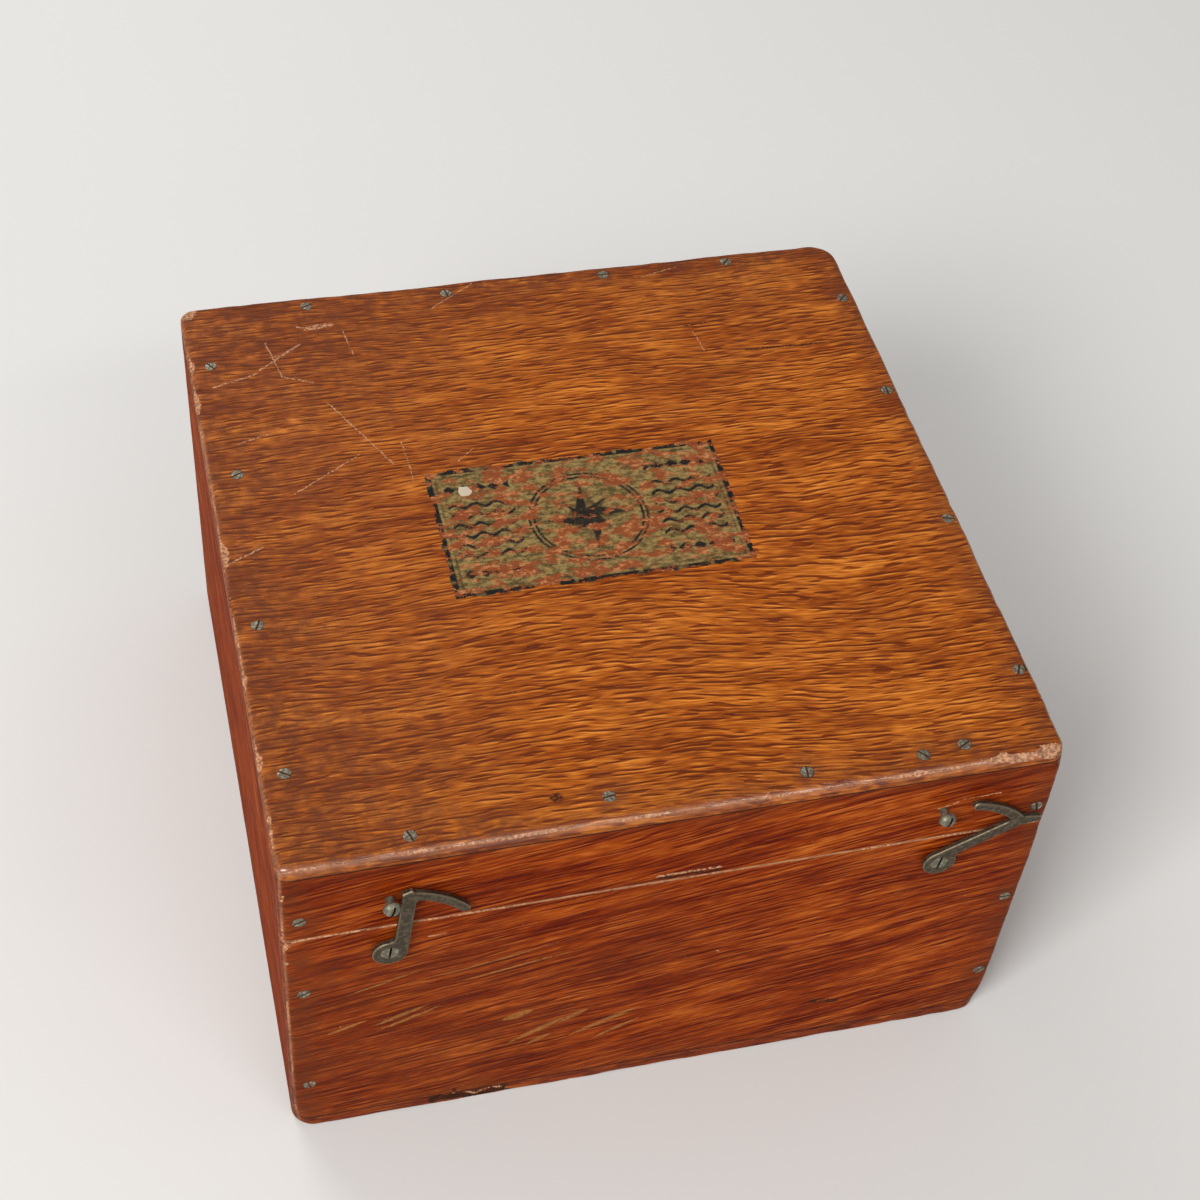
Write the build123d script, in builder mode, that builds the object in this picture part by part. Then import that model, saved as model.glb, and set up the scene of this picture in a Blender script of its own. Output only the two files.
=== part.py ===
from build123d import *
import os
from math import cos, degrees, radians, sin, sqrt

os.makedirs("parts", exist_ok=True)

# An oak instrument case: a square box sawn into a base and a shallow lid, hung on two brass butt
# hinges at the back and closed by two brass hooks at the front. Millimetres, +Z up, the front
# towards -Y. The origin is on the underside, in the middle of the case's plan.

# Case
case_width = 248.0
case_depth = 251.6
case_height = 151.2
lid_height = 36.2
wall = 11.0
top_thickness = 4.8
bottom_thickness = 6.5
seam_gap = 0.3
corner_radius = 3.0
top_arris = 2.3
bottom_arris = 2.0
seam_arris = 0.6
rebate_lip = 5.0
outline_slack = 0.02

# Butt hinges
hinge_length = 38.0
hinge_inset = 50.0
knuckle_count = 5
knuckle_radius = 2.2
knuckle_gap = 0.15
knuckle_stand = 0.1
leaf_thickness = 1.3
leaf_depth = 8.2
leaf_corner = 1.2
mortise_clearance = 0.1
hinge_pin_radius = 1.1
hinge_pin_clearance = 0.05

# Hooks: a flat brass hook that turns on a screw in the base and catches a stud in the lid
left_pivot_inset = 33.1
right_pivot_inset = 35.2
pivot_below_seam = 11.5
eye_radius = 5.6
arm_width = 4.6
catch_inner_radius = 27.9
catch_width = 3.3
catch_root_extra = 0.5
catch_reach = 49.5
hook_thickness = 1.7
hook_stand = 0.9
hook_edge = 0.3
boss_radius = 4.2
boss_gap = 0.15
tab_length = 7.4
tab_tip_width = 2.2
tab_tip_radius = 0.9
tab_lean = 30.0
tab_blend_radius = 1.0
broken_tab_length = 2.2
broken_tip_width = 3.4
broken_tip_radius = 0.6
inner_corner_radius = 1.2
eye_blend_radius = 2.5
left_arm_angle = 84.3
right_arm_angle = 28.3
pivot_head_radius = 3.0
pivot_shank_radius = 1.6
pivot_clearance = 0.06
pivot_recess = 0.15
pivot_depth_in_wood = 9.5
pivot_slot_angle = -8.0

# Studs that the hooks catch: round-headed screws left standing out of the lid
stud_rise = 26.0
left_stud_shift = 0.5
right_stud_shift = -2.6
stud_shank_radius = 1.5
stud_head_radius = 2.9
stud_head_height = 2.4
stud_rim_height = 0.9
stud_crown_radius = 1.7
stud_neck = 3.2
stud_depth_in_wood = 8.5
stud_slot_angle = -20.0
slot_width = 0.8
slot_depth = 0.9

# Corner chocks that carry the mirror's ring, each with a strip of baize on its seat
chock_height = 26.0
seat_height = 13.0
seat_reach = 14.0
ring_radius = 109.0
ring_clearance = 1.0
chock_corner_cut = 8.0
baize_thickness = 1.5
baize_margin = 1.5

# Levels and places that follow
half_width = case_width / 2
half_depth = case_depth / 2
seam_height = case_height - lid_height
base_rim = seam_height - seam_gap / 2
lid_rim = seam_height + seam_gap / 2
top_joint = case_height - top_thickness
inner_half_width = half_width - wall
inner_half_depth = half_depth - wall
hinge_axis_y = half_depth + knuckle_radius + knuckle_stand
hinge_centres = {"left": hinge_inset - half_width, "right": half_width - hinge_inset}
pivot_height = seam_height - pivot_below_seam
pivot_places = {"left": left_pivot_inset - half_width, "right": half_width - right_pivot_inset}
stud_places = {
    "left": pivot_places["left"] + left_stud_shift,
    "right": pivot_places["right"] + right_stud_shift,
}
arm_angles = {"left": left_arm_angle, "right": right_arm_angle}
seat_radius = ring_radius + ring_clearance
chock_size = (inner_half_width + inner_half_depth - (seat_radius - seat_reach) * sqrt(2)) / 2
sides = {"left": -1, "right": 1}
ends = {"front": -1, "back": 1}


def finish(piece, name):
    """Name a finished piece and write it to its own file."""
    piece.label = name
    export_step(piece, f"parts/{name}.step")


def outline_edges(face):
    """Edges of a horizontal face that lie on the outside of the case's rounded plan."""
    corner_sag = corner_radius * (1 - sqrt(0.5))
    reach = corner_sag + outline_slack

    def outside(edge):
        middle = edge.position_at(0.5)
        return abs(middle.X) > half_width - reach or abs(middle.Y) > half_depth - reach

    return face.edges().filter_by(outside)


def end_board(low, high, end):
    """Front or back board between two heights: rebated for the side boards and rounded at its ends."""
    facing = ends[end]
    with BuildPart() as board:
        with BuildSketch(Plane.XY.offset(low)) as plan:
            with Locations((0, facing * (half_depth - wall / 2))):
                Rectangle(case_width, wall)
            with Locations(*[(side * (half_width - wall / 2), facing * (half_depth - rebate_lip - wall / 2))
                             for side in sides.values()]):
                Rectangle(wall, wall, mode=Mode.SUBTRACT)
            fillet(plan.vertices().group_by(Axis.Y)[0 if facing < 0 else -1], corner_radius)
        extrude(amount=high - low)
        seam_face = board.faces().sort_by(Axis.Z)[-1 if low < seam_height else 0]
        fillet(outline_edges(seam_face), seam_arris)
    return board.part


def side_board(low, high, side):
    """Left or right board between two heights, its ends in the rebates of the front and back."""
    with BuildPart() as board:
        with BuildSketch(Plane.XY.offset(low)):
            with Locations((side * (half_width - wall / 2), 0)):
                Rectangle(wall, case_depth - 2 * rebate_lip)
        extrude(amount=high - low)
        seam_face = board.faces().sort_by(Axis.Z)[-1 if low < seam_height else 0]
        fillet(outline_edges(seam_face), seam_arris)
    return board.part


def mortised(board, facing):
    """Let the two hinge leaves into the rim of a back board; facing is 1 for the base, -1 for the lid."""
    rim = base_rim if facing > 0 else lid_rim
    with BuildPart() as cut:
        add(board)
        with BuildSketch(Plane.XY.offset(rim)):
            with Locations(*[(x, half_depth - leaf_depth / 2) for x in hinge_centres.values()]):
                Rectangle(hinge_length + 2 * mortise_clearance, leaf_depth + 2 * mortise_clearance)
        extrude(amount=-facing * leaf_thickness, mode=Mode.SUBTRACT)
    return cut.part


# Boards of the base
base_front_board = end_board(bottom_thickness, base_rim, "front")
base_back_board = mortised(end_board(bottom_thickness, base_rim, "back"), 1)
base_left_board = side_board(bottom_thickness, base_rim, sides["left"])
base_right_board = side_board(bottom_thickness, base_rim, sides["right"])

with BuildPart() as bottom_board:
    with BuildSketch():
        RectangleRounded(case_width, case_depth, corner_radius)
    extrude(amount=bottom_thickness)
    fillet(bottom_board.faces().sort_by(Axis.Z)[0].edges(), bottom_arris)

# Boards of the lid
lid_front_rail = end_board(lid_rim, top_joint, "front")
lid_back_rail = mortised(end_board(lid_rim, top_joint, "back"), -1)
lid_left_rail = side_board(lid_rim, top_joint, sides["left"])
lid_right_rail = side_board(lid_rim, top_joint, sides["right"])

with BuildPart() as lid_top_board:
    with BuildSketch(Plane.XY.offset(top_joint)):
        RectangleRounded(case_width, case_depth, corner_radius)
    extrude(amount=top_thickness)
    fillet(lid_top_board.faces().sort_by(Axis.Z)[-1].edges(), top_arris)


def knuckles(owner):
    """Start of each knuckle that a leaf carries, counted from the hinge's left end."""
    pitch = hinge_length / knuckle_count
    first = 0 if owner == "base" else 1
    return [pitch * i for i in range(first, knuckle_count, 2)]


def hinge_leaf(centre, owner):
    """One leaf of a butt hinge with its knuckles, lying in the rim of its board."""
    up = -1 if owner == "base" else 1
    start = centre - hinge_length / 2
    outer = seam_height + up * seam_gap / 2
    middle = outer + up * leaf_thickness / 2
    neck = hinge_axis_y - knuckle_radius - knuckle_gap
    tail = half_depth - leaf_depth
    pitch = hinge_length / knuckle_count
    bore = hinge_pin_radius + (0 if owner == "base" else hinge_pin_clearance)
    with BuildPart() as leaf:
        with BuildSketch(Plane.XY.offset(outer)) as plate:
            with Locations((centre, (neck + tail) / 2)):
                Rectangle(hinge_length, neck - tail)
            fillet(plate.vertices().group_by(Axis.Y)[0], leaf_corner)
        extrude(amount=up * leaf_thickness)
        for place in knuckles(owner):
            with BuildSketch(Plane.YZ.offset(start + place + knuckle_gap / 2)):
                with Locations((hinge_axis_y, seam_height)):
                    Circle(knuckle_radius)
                with Locations(((neck + hinge_axis_y) / 2, middle)):
                    Rectangle(hinge_axis_y - neck, leaf_thickness)
            extrude(amount=pitch - knuckle_gap)
        with BuildSketch(Plane.YZ.offset(start)):
            with Locations((hinge_axis_y, seam_height)):
                Circle(bore)
        extrude(amount=hinge_length, mode=Mode.SUBTRACT)
    return leaf.part


# Hinges
hinge_leaves = {}
hinge_pins = {}
for side, centre in hinge_centres.items():
    for owner in ("base", "lid"):
        hinge_leaves[f"hinge_{owner}_leaf_{side}"] = hinge_leaf(centre, owner)
    with BuildPart() as pin:
        with BuildSketch(Plane.YZ.offset(centre - hinge_length / 2)):
            with Locations((hinge_axis_y, seam_height)):
                Circle(hinge_pin_radius)
        extrude(amount=hinge_length)
    hinge_pins[f"hinge_pin_{side}"] = pin.part


def front_plane(x, z, angle=0.0):
    """Plane on the front face looking out of it, turned by an angle anticlockwise as seen from the front."""
    turned = (cos(radians(angle)), 0, sin(radians(angle)))
    return Plane(origin=(x, -half_depth, z), x_dir=turned, z_dir=(0, -1, 0))


def hook(side, catch_side, tab, tip_width, tip_radius):
    """Hook drawn with its arm up from the pivot; catch_side is 1 where the catch points right."""
    arm_offset = eye_radius - arm_width / 2
    catch_outer_radius = catch_inner_radius + catch_width
    catch_middle_radius = catch_inner_radius + catch_width / 2
    tip_turn = degrees(catch_width / 2 / catch_middle_radius)
    tip = catch_reach - tip_turn
    root = degrees(arm_offset / catch_inner_radius)
    middle = (root + tip) / 2

    def at(x, y):
        """Point in the outline, handed to the side that the catch is on."""
        return (catch_side * x, y)

    def polar(radius, angle):
        """Point at an angle from the arm towards the catch."""
        return at(radius * sin(radians(angle)), radius * cos(radians(angle)))

    def tab_point(along, across):
        """Point of the thumb tab, which leans away from the catch."""
        x_dir = cos(radians(tab_lean))
        y_dir = sin(radians(tab_lean))
        aside = arm_offset - along * y_dir + across * x_dir
        rise = catch_middle_radius + along * x_dir + across * y_dir
        return at(aside, rise)

    def round_corner(sketch, point, radius):
        """Round the corner of the outline that is nearest to a point."""
        fillet(sketch.vertices().sort_by_distance(point)[0], radius)

    place = front_plane(pivot_places[side], pivot_height, arm_angles[side] - 90)
    with BuildPart() as piece:
        with BuildSketch(place.offset(hook_stand)) as outline:
            Circle(eye_radius)
            with Locations(at(arm_offset, catch_middle_radius / 2)):
                Rectangle(arm_width, catch_middle_radius)
            with BuildLine():
                inner = ThreePointArc(
                    polar(catch_inner_radius, root),
                    polar(catch_inner_radius, middle),
                    polar(catch_inner_radius, tip),
                )
                nose = ThreePointArc(
                    inner @ 1,
                    polar(catch_middle_radius, catch_reach),
                    polar(catch_outer_radius, tip),
                )
                outer = ThreePointArc(
                    nose @ 1,
                    polar(catch_outer_radius + catch_root_extra / 2, middle),
                    polar(catch_outer_radius + catch_root_extra, root),
                )
                Line(outer @ 1, inner @ 0)
            make_face()
            with BuildLine():
                Polyline(
                    polar(catch_inner_radius, root),
                    tab_point(0, -arm_width / 2),
                    tab_point(tab, -tip_width / 2),
                    tab_point(tab, tip_width / 2),
                    tab_point(0, arm_width / 2),
                    close=True,
                )
            make_face()
            for way in (-1, 1):
                round_corner(outline, tab_point(tab, way * tip_width / 2), tip_radius)
            round_corner(outline, at(eye_radius, catch_inner_radius), inner_corner_radius)
            round_corner(outline, at(eye_radius - arm_width, eye_radius), eye_blend_radius)
            round_corner(outline, tab_point(1, arm_width / 2), tab_blend_radius)
        extrude(amount=hook_thickness)
        chamfer(piece.faces().sort_by(Axis.Y)[0].edges(), hook_edge)
        with BuildSketch(place.offset(boss_gap)):
            Circle(boss_radius)
        extrude(amount=hook_stand - boss_gap)
        with Locations(place.offset(hook_stand + hook_thickness)):
            CounterSinkHole(
                radius=pivot_shank_radius + pivot_clearance,
                counter_sink_radius=pivot_head_radius + pivot_recess + pivot_clearance,
                depth=hook_stand + hook_thickness,
                counter_sink_angle=90,
            )
    return piece.part


def profile_plane(place):
    """Plane through the axis of a turned piece: its +X is the radius and its +Y points out of the wood."""
    return Plane(origin=place.origin, x_dir=place.x_dir, z_dir=-place.y_dir)


def pivot_screw(side):
    """Countersunk slotted screw that a hook turns on."""
    place = front_plane(pivot_places[side], pivot_height, pivot_slot_angle)
    top = hook_stand + hook_thickness - pivot_recess
    with BuildPart() as piece:
        with BuildSketch(profile_plane(place)):
            with BuildLine():
                Polyline(
                    (0, top),
                    (pivot_head_radius, top),
                    (pivot_shank_radius, top - pivot_head_radius + pivot_shank_radius),
                    (pivot_shank_radius, -pivot_depth_in_wood),
                    (0, -pivot_depth_in_wood),
                    close=True,
                )
            make_face()
        revolve(axis=Axis(place.origin, place.z_dir))
        with BuildSketch(place.offset(top)):
            Rectangle(slot_width, 2 * pivot_head_radius)
        extrude(amount=-slot_depth, mode=Mode.SUBTRACT)
    return piece.part


def stud(side):
    """Round-headed slotted screw left standing out of the lid's front."""
    place = front_plane(stud_places[side], pivot_height + stud_rise, stud_slot_angle)
    top = stud_neck + stud_head_height
    with BuildPart() as piece:
        with BuildSketch(profile_plane(place)):
            with BuildLine():
                Polyline(
                    (0, top),
                    (stud_crown_radius, top),
                    (stud_head_radius, stud_neck + stud_rim_height),
                    (stud_head_radius, stud_neck),
                    (stud_shank_radius, stud_neck),
                    (stud_shank_radius, -stud_depth_in_wood),
                    (0, -stud_depth_in_wood),
                    close=True,
                )
            make_face()
        revolve(axis=Axis(place.origin, place.z_dir))
        with BuildSketch(place.offset(top)):
            Rectangle(slot_width, 2 * stud_head_radius)
        extrude(amount=-slot_depth, mode=Mode.SUBTRACT)
    return piece.part


# Hooks, the screws they turn on and the studs they catch
hooks = {
    "hook_left": hook("left", 1, broken_tab_length, broken_tip_width, broken_tip_radius),
    "hook_right": hook("right", -1, tab_length, tab_tip_width, tab_tip_radius),
}
pivot_screws = {f"hook_pivot_screw_{side}": pivot_screw(side) for side in sides}
studs = {f"stud_{side}": stud(side) for side in sides}


def chock_plan(side, end, margin):
    """Plan of a corner chock, drawn back from its inner faces by a margin."""
    size = chock_size - margin
    centre_x = sides[side] * (inner_half_width - size / 2)
    centre_y = ends[end] * (inner_half_depth - size / 2)
    with BuildSketch() as plan:
        with Locations((centre_x, centre_y)):
            Rectangle(size, size)
        inner_corner = plan.vertices().sort_by(Axis((0, 0, 0), (sides[side], ends[end], 0)))[0]
        chamfer(inner_corner, chock_corner_cut - margin * (2 - sqrt(2)))
    return plan.sketch


def chock(side, end):
    """Corner block with a seat cut to the mirror's ring."""
    plan = chock_plan(side, end, 0)
    with BuildPart() as block:
        with BuildSketch(Plane.XY.offset(bottom_thickness)):
            add(plan)
        extrude(amount=chock_height)
        with BuildSketch(Plane.XY.offset(bottom_thickness + seat_height)):
            Circle(seat_radius)
        extrude(amount=chock_height - seat_height, mode=Mode.SUBTRACT)
    return block.part


def baize(side, end):
    """Strip of baize on a chock's seat."""
    plan = chock_plan(side, end, baize_margin)
    with BuildPart() as strip:
        with BuildSketch(Plane.XY.offset(bottom_thickness + seat_height)):
            add(plan)
            Circle(seat_radius - baize_margin, mode=Mode.INTERSECT)
        extrude(amount=baize_thickness)
    return strip.part


# Chocks and their baize
chocks = {f"chock_{end}_{side}": chock(side, end) for end in ends for side in sides}
pads = {f"baize_{end}_{side}": baize(side, end) for end in ends for side in sides}

finish(bottom_board.part, "bottom_board")
finish(base_front_board, "base_front_board")
finish(base_back_board, "base_back_board")
finish(base_left_board, "base_left_board")
finish(base_right_board, "base_right_board")
finish(lid_top_board.part, "lid_top_board")
finish(lid_front_rail, "lid_front_rail")
finish(lid_back_rail, "lid_back_rail")
finish(lid_left_rail, "lid_left_rail")
finish(lid_right_rail, "lid_right_rail")
for group in (hinge_leaves, hinge_pins, hooks, pivot_screws, studs, chocks, pads):
    for name, piece in group.items():
        finish(piece, name)
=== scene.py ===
"""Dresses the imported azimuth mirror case: worn oak boards, brass hooks, screws, label and studio.

Lengths are millimetres in the case's own frame, +Z up and the hooks towards -Y, until a mesh is made.
"""
import logging
import math
from dataclasses import dataclass, replace
from enum import Enum
from typing import ClassVar

import bpy
import numpy as np
from mathutils import Matrix, Vector


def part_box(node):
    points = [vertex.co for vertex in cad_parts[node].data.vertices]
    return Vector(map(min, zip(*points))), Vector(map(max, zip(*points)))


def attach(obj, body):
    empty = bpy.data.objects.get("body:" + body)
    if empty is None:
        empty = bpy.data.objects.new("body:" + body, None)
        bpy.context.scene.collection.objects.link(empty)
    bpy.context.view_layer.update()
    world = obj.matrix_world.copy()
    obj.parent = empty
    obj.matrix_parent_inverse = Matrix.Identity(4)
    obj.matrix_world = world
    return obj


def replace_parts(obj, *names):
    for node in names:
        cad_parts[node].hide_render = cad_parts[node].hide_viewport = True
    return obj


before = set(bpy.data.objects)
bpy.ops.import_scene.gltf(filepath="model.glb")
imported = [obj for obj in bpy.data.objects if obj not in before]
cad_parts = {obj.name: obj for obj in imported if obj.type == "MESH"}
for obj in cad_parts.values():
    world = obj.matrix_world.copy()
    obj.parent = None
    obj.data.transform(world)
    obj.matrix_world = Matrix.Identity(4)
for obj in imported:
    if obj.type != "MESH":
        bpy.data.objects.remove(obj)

LOG = logging.getLogger("case")
MM = 0.001
Array = np.ndarray
Place = tuple[float, float]
Point = tuple[float, float, float]
Colour = tuple[float, float, float]
Socket = bpy.types.NodeSocket
Feed = Socket | float | tuple


def ripple(points: Array, size: float, seed: int) -> Array:
    """Smooth noise in space, the same on every run.

    Args:
        points: Places, one row each.
        size: Rough size of a lump, as one number or three.
        seed: Which pattern.

    Returns:
        A value from -1 to 1 for each place.
    """
    cell = points / np.asarray(size, float) + seed * 17.31
    base = np.floor(cell).astype(np.int64)
    part = cell - base
    part = part * part * (3 - 2 * part)
    total = np.zeros(len(points))
    for corner in np.ndindex(2, 2, 2):
        at = base + corner
        mixed = (at[:, 0] * 73856093) ^ (at[:, 1] * 19349663) ^ (at[:, 2] * 83492791) ^ (seed * 40503)
        mixed = ((mixed ^ (mixed >> 13)) * 1274126177) & 0xFFFFFFFF
        value = ((mixed ^ (mixed >> 15)) & 0xFFFF) / 32767.5 - 1
        weight = np.prod(np.where(np.array(corner), part, 1 - part), axis=1)
        total += value * weight
    return total


def ease(value: Array, low: float, high: float) -> Array:
    """Smooth step of a value from 0 at low to 1 at high; low may be the larger."""
    part = np.clip((value - low) / (high - low), 0, 1)
    return part * part * (3 - 2 * part)


@dataclass(frozen=True)
class Chip:
    """Wood that has broken away: an ellipsoid taken out of the case."""

    centre: Point
    radii: Point
    bare: float = 1.0
    ragged: float = 0.3
    # How much darker the wood is made inside the chip.
    darkened: float = 0.0


@dataclass(frozen=True)
class Corner:
    """A vertical edge of the case worn rounder than the rest near one height."""

    x_side: int
    y_side: int
    z: float
    spread: float
    extra: float


@dataclass
class WornCase:
    """The outside of the closed case as years of use have left it."""

    half_width: float = 124.0
    half_depth: float = 125.8
    height: float = 151.2
    seam: float = 115.0
    skin: float = 0.16
    corner_radius: float = 2.9
    top_radius: float = 2.3
    bottom_radius: float = 2.0
    corners: tuple[Corner, ...] = (
        Corner(1, 1, 151.2, 16.0, 5.5),
        Corner(1, -1, 151.2, 7.0, 2.6),
        Corner(-1, 1, 151.2, 8.0, 2.0),
        Corner(-1, -1, 151.2, 6.0, 1.2),
        Corner(-1, -1, 0.0, 12.0, 4.5),
        Corner(1, -1, 0.0, 12.0, 5.5),
        Corner(-1, -1, 115.0, 5.0, 0.8),
    )
    chips: tuple[Chip, ...] = (
        Chip((121.0, -127.2, 152.4), (9.0, 5.4, 3.8)),
        Chip((106.0, -127.8, 152.0), (20.0, 4.6, 2.7)),
        Chip((80.0, -127.6, 152.0), (14.0, 3.6, 2.2), 0.8, 0.5),
        Chip((-122.0, 125.0, 152.4), (5.0, 6.0, 2.6)),
        Chip((-124.6, 94.0, 151.8), (3.0, 5.0, 2.0)),
        Chip((-124.8, 76.0, 152.0), (3.0, 7.0, 2.4)),
        Chip((-124.8, 60.0, 152.0), (2.5, 5.0, 2.1)),
        Chip((-124.9, 34.0, 151.8), (2.3, 4.0, 2.0)),
        Chip((-124.8, 2.0, 151.8), (3.4, 8.0, 2.2)),
        Chip((-124.9, -52.0, 152.0), (2.7, 6.0, 2.3)),
        Chip((-124.8, -84.0, 152.0), (2.6, 9.0, 2.3)),
        Chip((-124.8, -108.0, 151.9), (2.8, 5.0, 2.2)),
        Chip((-122.0, -126.6, 152.0), (7.0, 2.6, 2.0)),
        Chip((-96.0, -127.4, 152.4), (12.0, 2.9, 2.3)),
        Chip((-125.0, -127.0, 138.0), (4.2, 2.2, 6.0)),
        Chip((-125.4, -127.2, 112.0), (4.6, 2.3, 4.0)),
        Chip((-125.2, -127.0, 103.0), (4.0, 2.2, 3.2)),
        # A broken hole at the foot of the front, its inside made darker.
        Chip((-66.0, -127.2, 4.4), (9.5, 2.6, 2.7), 0.0, 0.7, 0.75),
        Chip((-57.5, -127.2, 3.6), (7.5, 2.6, 2.6), 0.0, 0.7, 0.75),
        Chip((-58.0, -125.6, 3.4), (5.0, 1.8, 0.9), 1.0, 0.8),
        Chip((-65.5, -125.6, 4.4), (4.2, 1.8, 0.8), 1.0, 0.8),
        Chip((122.0, -127.0, 1.0), (5.0, 2.6, 3.0), 0.8, 0.5),
        Chip((125.4, 40.0, 152.2), (2.2, 5.0, 2.0)),
        Chip((125.4, -20.0, 152.0), (1.9, 8.0, 1.8)),
        Chip((125.5, -88.0, 152.4), (2.4, 5.0, 2.2)),
        Chip((60.0, 127.6, 152.2), (9.0, 2.5, 2.0)),
        Chip((-70.0, 127.6, 152.2), (7.0, 2.5, 2.0)),
        Chip((125.0, -126.6, 113.5), (3.4, 2.0, 3.0)),
        Chip((125.4, 127.2, 4.0), (4.0, 4.0, 3.5)),
    )

    def fields(self, points: Array) -> dict[str, Array]:
        """Radii of the worn edges at each place, and how ragged the chips are there."""
        x, y, z = points.T
        corner = self.corner_radius + 0.7 * ripple(points, (9, 9, 13), 1) + 0.35 * ripple(points, 4, 2)
        for place in self.corners:
            near = (x * place.x_side > 0) & (y * place.y_side > 0)
            corner += near * place.extra * np.exp(-(((z - place.z) / place.spread) ** 2))
        top = self.top_radius + 0.55 * ripple(points, 15, 3) + 0.45 * ripple(points, 5, 4)
        top += 0.5 * ease(y, -100, -124)
        bottom = self.bottom_radius + 0.6 * ripple(points, 14, 5) + 0.4 * ripple(points, 5, 6)
        return {
            "corner": np.maximum(corner, 1.2),
            "top": np.clip(top, 1.0, 4.0),
            "bottom": np.clip(bottom, 0.9, 4.0),
            "skin": self.skin + 0.05 * ripple(points, 38, 7),
            "ragged": 0.6 * ripple(points, 2.6, 8) + 0.4 * ripple(points, (5, 5, 1.6), 9),
        }

    def distance(self, points: Array, found: dict[str, Array]) -> Array:
        """Distance of each place outside the worn case, below zero inside it."""
        x, y, z = np.abs(points[:, 0]), np.abs(points[:, 1]), points[:, 2]
        radius, skin = found["corner"], found["skin"]
        plan = rounded(x - (self.half_width - skin), y - (self.half_depth - skin), radius)
        shell = np.maximum(
            rounded(plan, z - (self.height - skin), found["top"]),
            rounded(plan, skin - z, found["bottom"]),
        )
        return np.maximum(shell, self.broken(points, found)[0])

    def broken(self, points: Array, found: dict[str, Array]) -> tuple[Array, Array, Array]:
        """Depth inside the chips at each place, and how bare the wood is there and how much darker it is
        made.
        """
        depth = np.full(len(points), -1e3)
        bare = np.zeros(len(points))
        darkened = np.zeros(len(points))
        for chip in self.chips:
            offset = (points - np.array(chip.centre)) / np.array(chip.radii)
            reach = np.linalg.norm(offset, axis=1) * (1 + chip.ragged * found["ragged"])
            inside = (1 - reach) * min(chip.radii)
            depth = np.maximum(depth, inside)
            bare = np.maximum(bare, chip.bare * ease(inside, -0.5, 0.25))
            darkened = np.maximum(darkened, chip.darkened * ease(inside, -0.9, 0.0))
        return depth, bare, darkened

    def edge_distance(self, points: Array) -> Array:
        """Distance from places on the sharp case to its nearest outer edge."""
        x, y, z = points.T
        gaps = np.stack([self.half_width - np.abs(x), self.half_depth - np.abs(y), self.height - z, z])
        return np.sort(gaps, axis=0)[1]


def rounded(a: Array, b: Array, radius: Array) -> Array:
    """Distance outside the meeting of two faces whose edge is rounded."""
    a, b = a + radius, b + radius
    return np.hypot(np.maximum(a, 0), np.maximum(b, 0)) + np.minimum(np.maximum(a, b), 0) - radius


class Facing(Enum):
    """Which way a board's outer face looks, as the axes along its face and out of it."""

    TOP = ((1, 0, 0), (0, 1, 0), (0, 0, 1))
    UNDER = ((1, 0, 0), (0, -1, 0), (0, 0, -1))
    FRONT = ((1, 0, 0), (0, 0, 1), (0, -1, 0))
    BACK = ((-1, 0, 0), (0, 0, 1), (0, 1, 0))
    LEFT = ((0, -1, 0), (0, 0, 1), (-1, 0, 0))
    RIGHT = ((0, 1, 0), (0, 0, 1), (1, 0, 0))

    @property
    def axes(self) -> Array:
        """The three axes as rows."""
        return np.array(self.value, float)


@dataclass(frozen=True)
class Head:
    """A screw head: its centre on the face, the way it looks, and how far its slot is turned."""

    centre: Point
    facing: Facing
    turn: float


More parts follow.
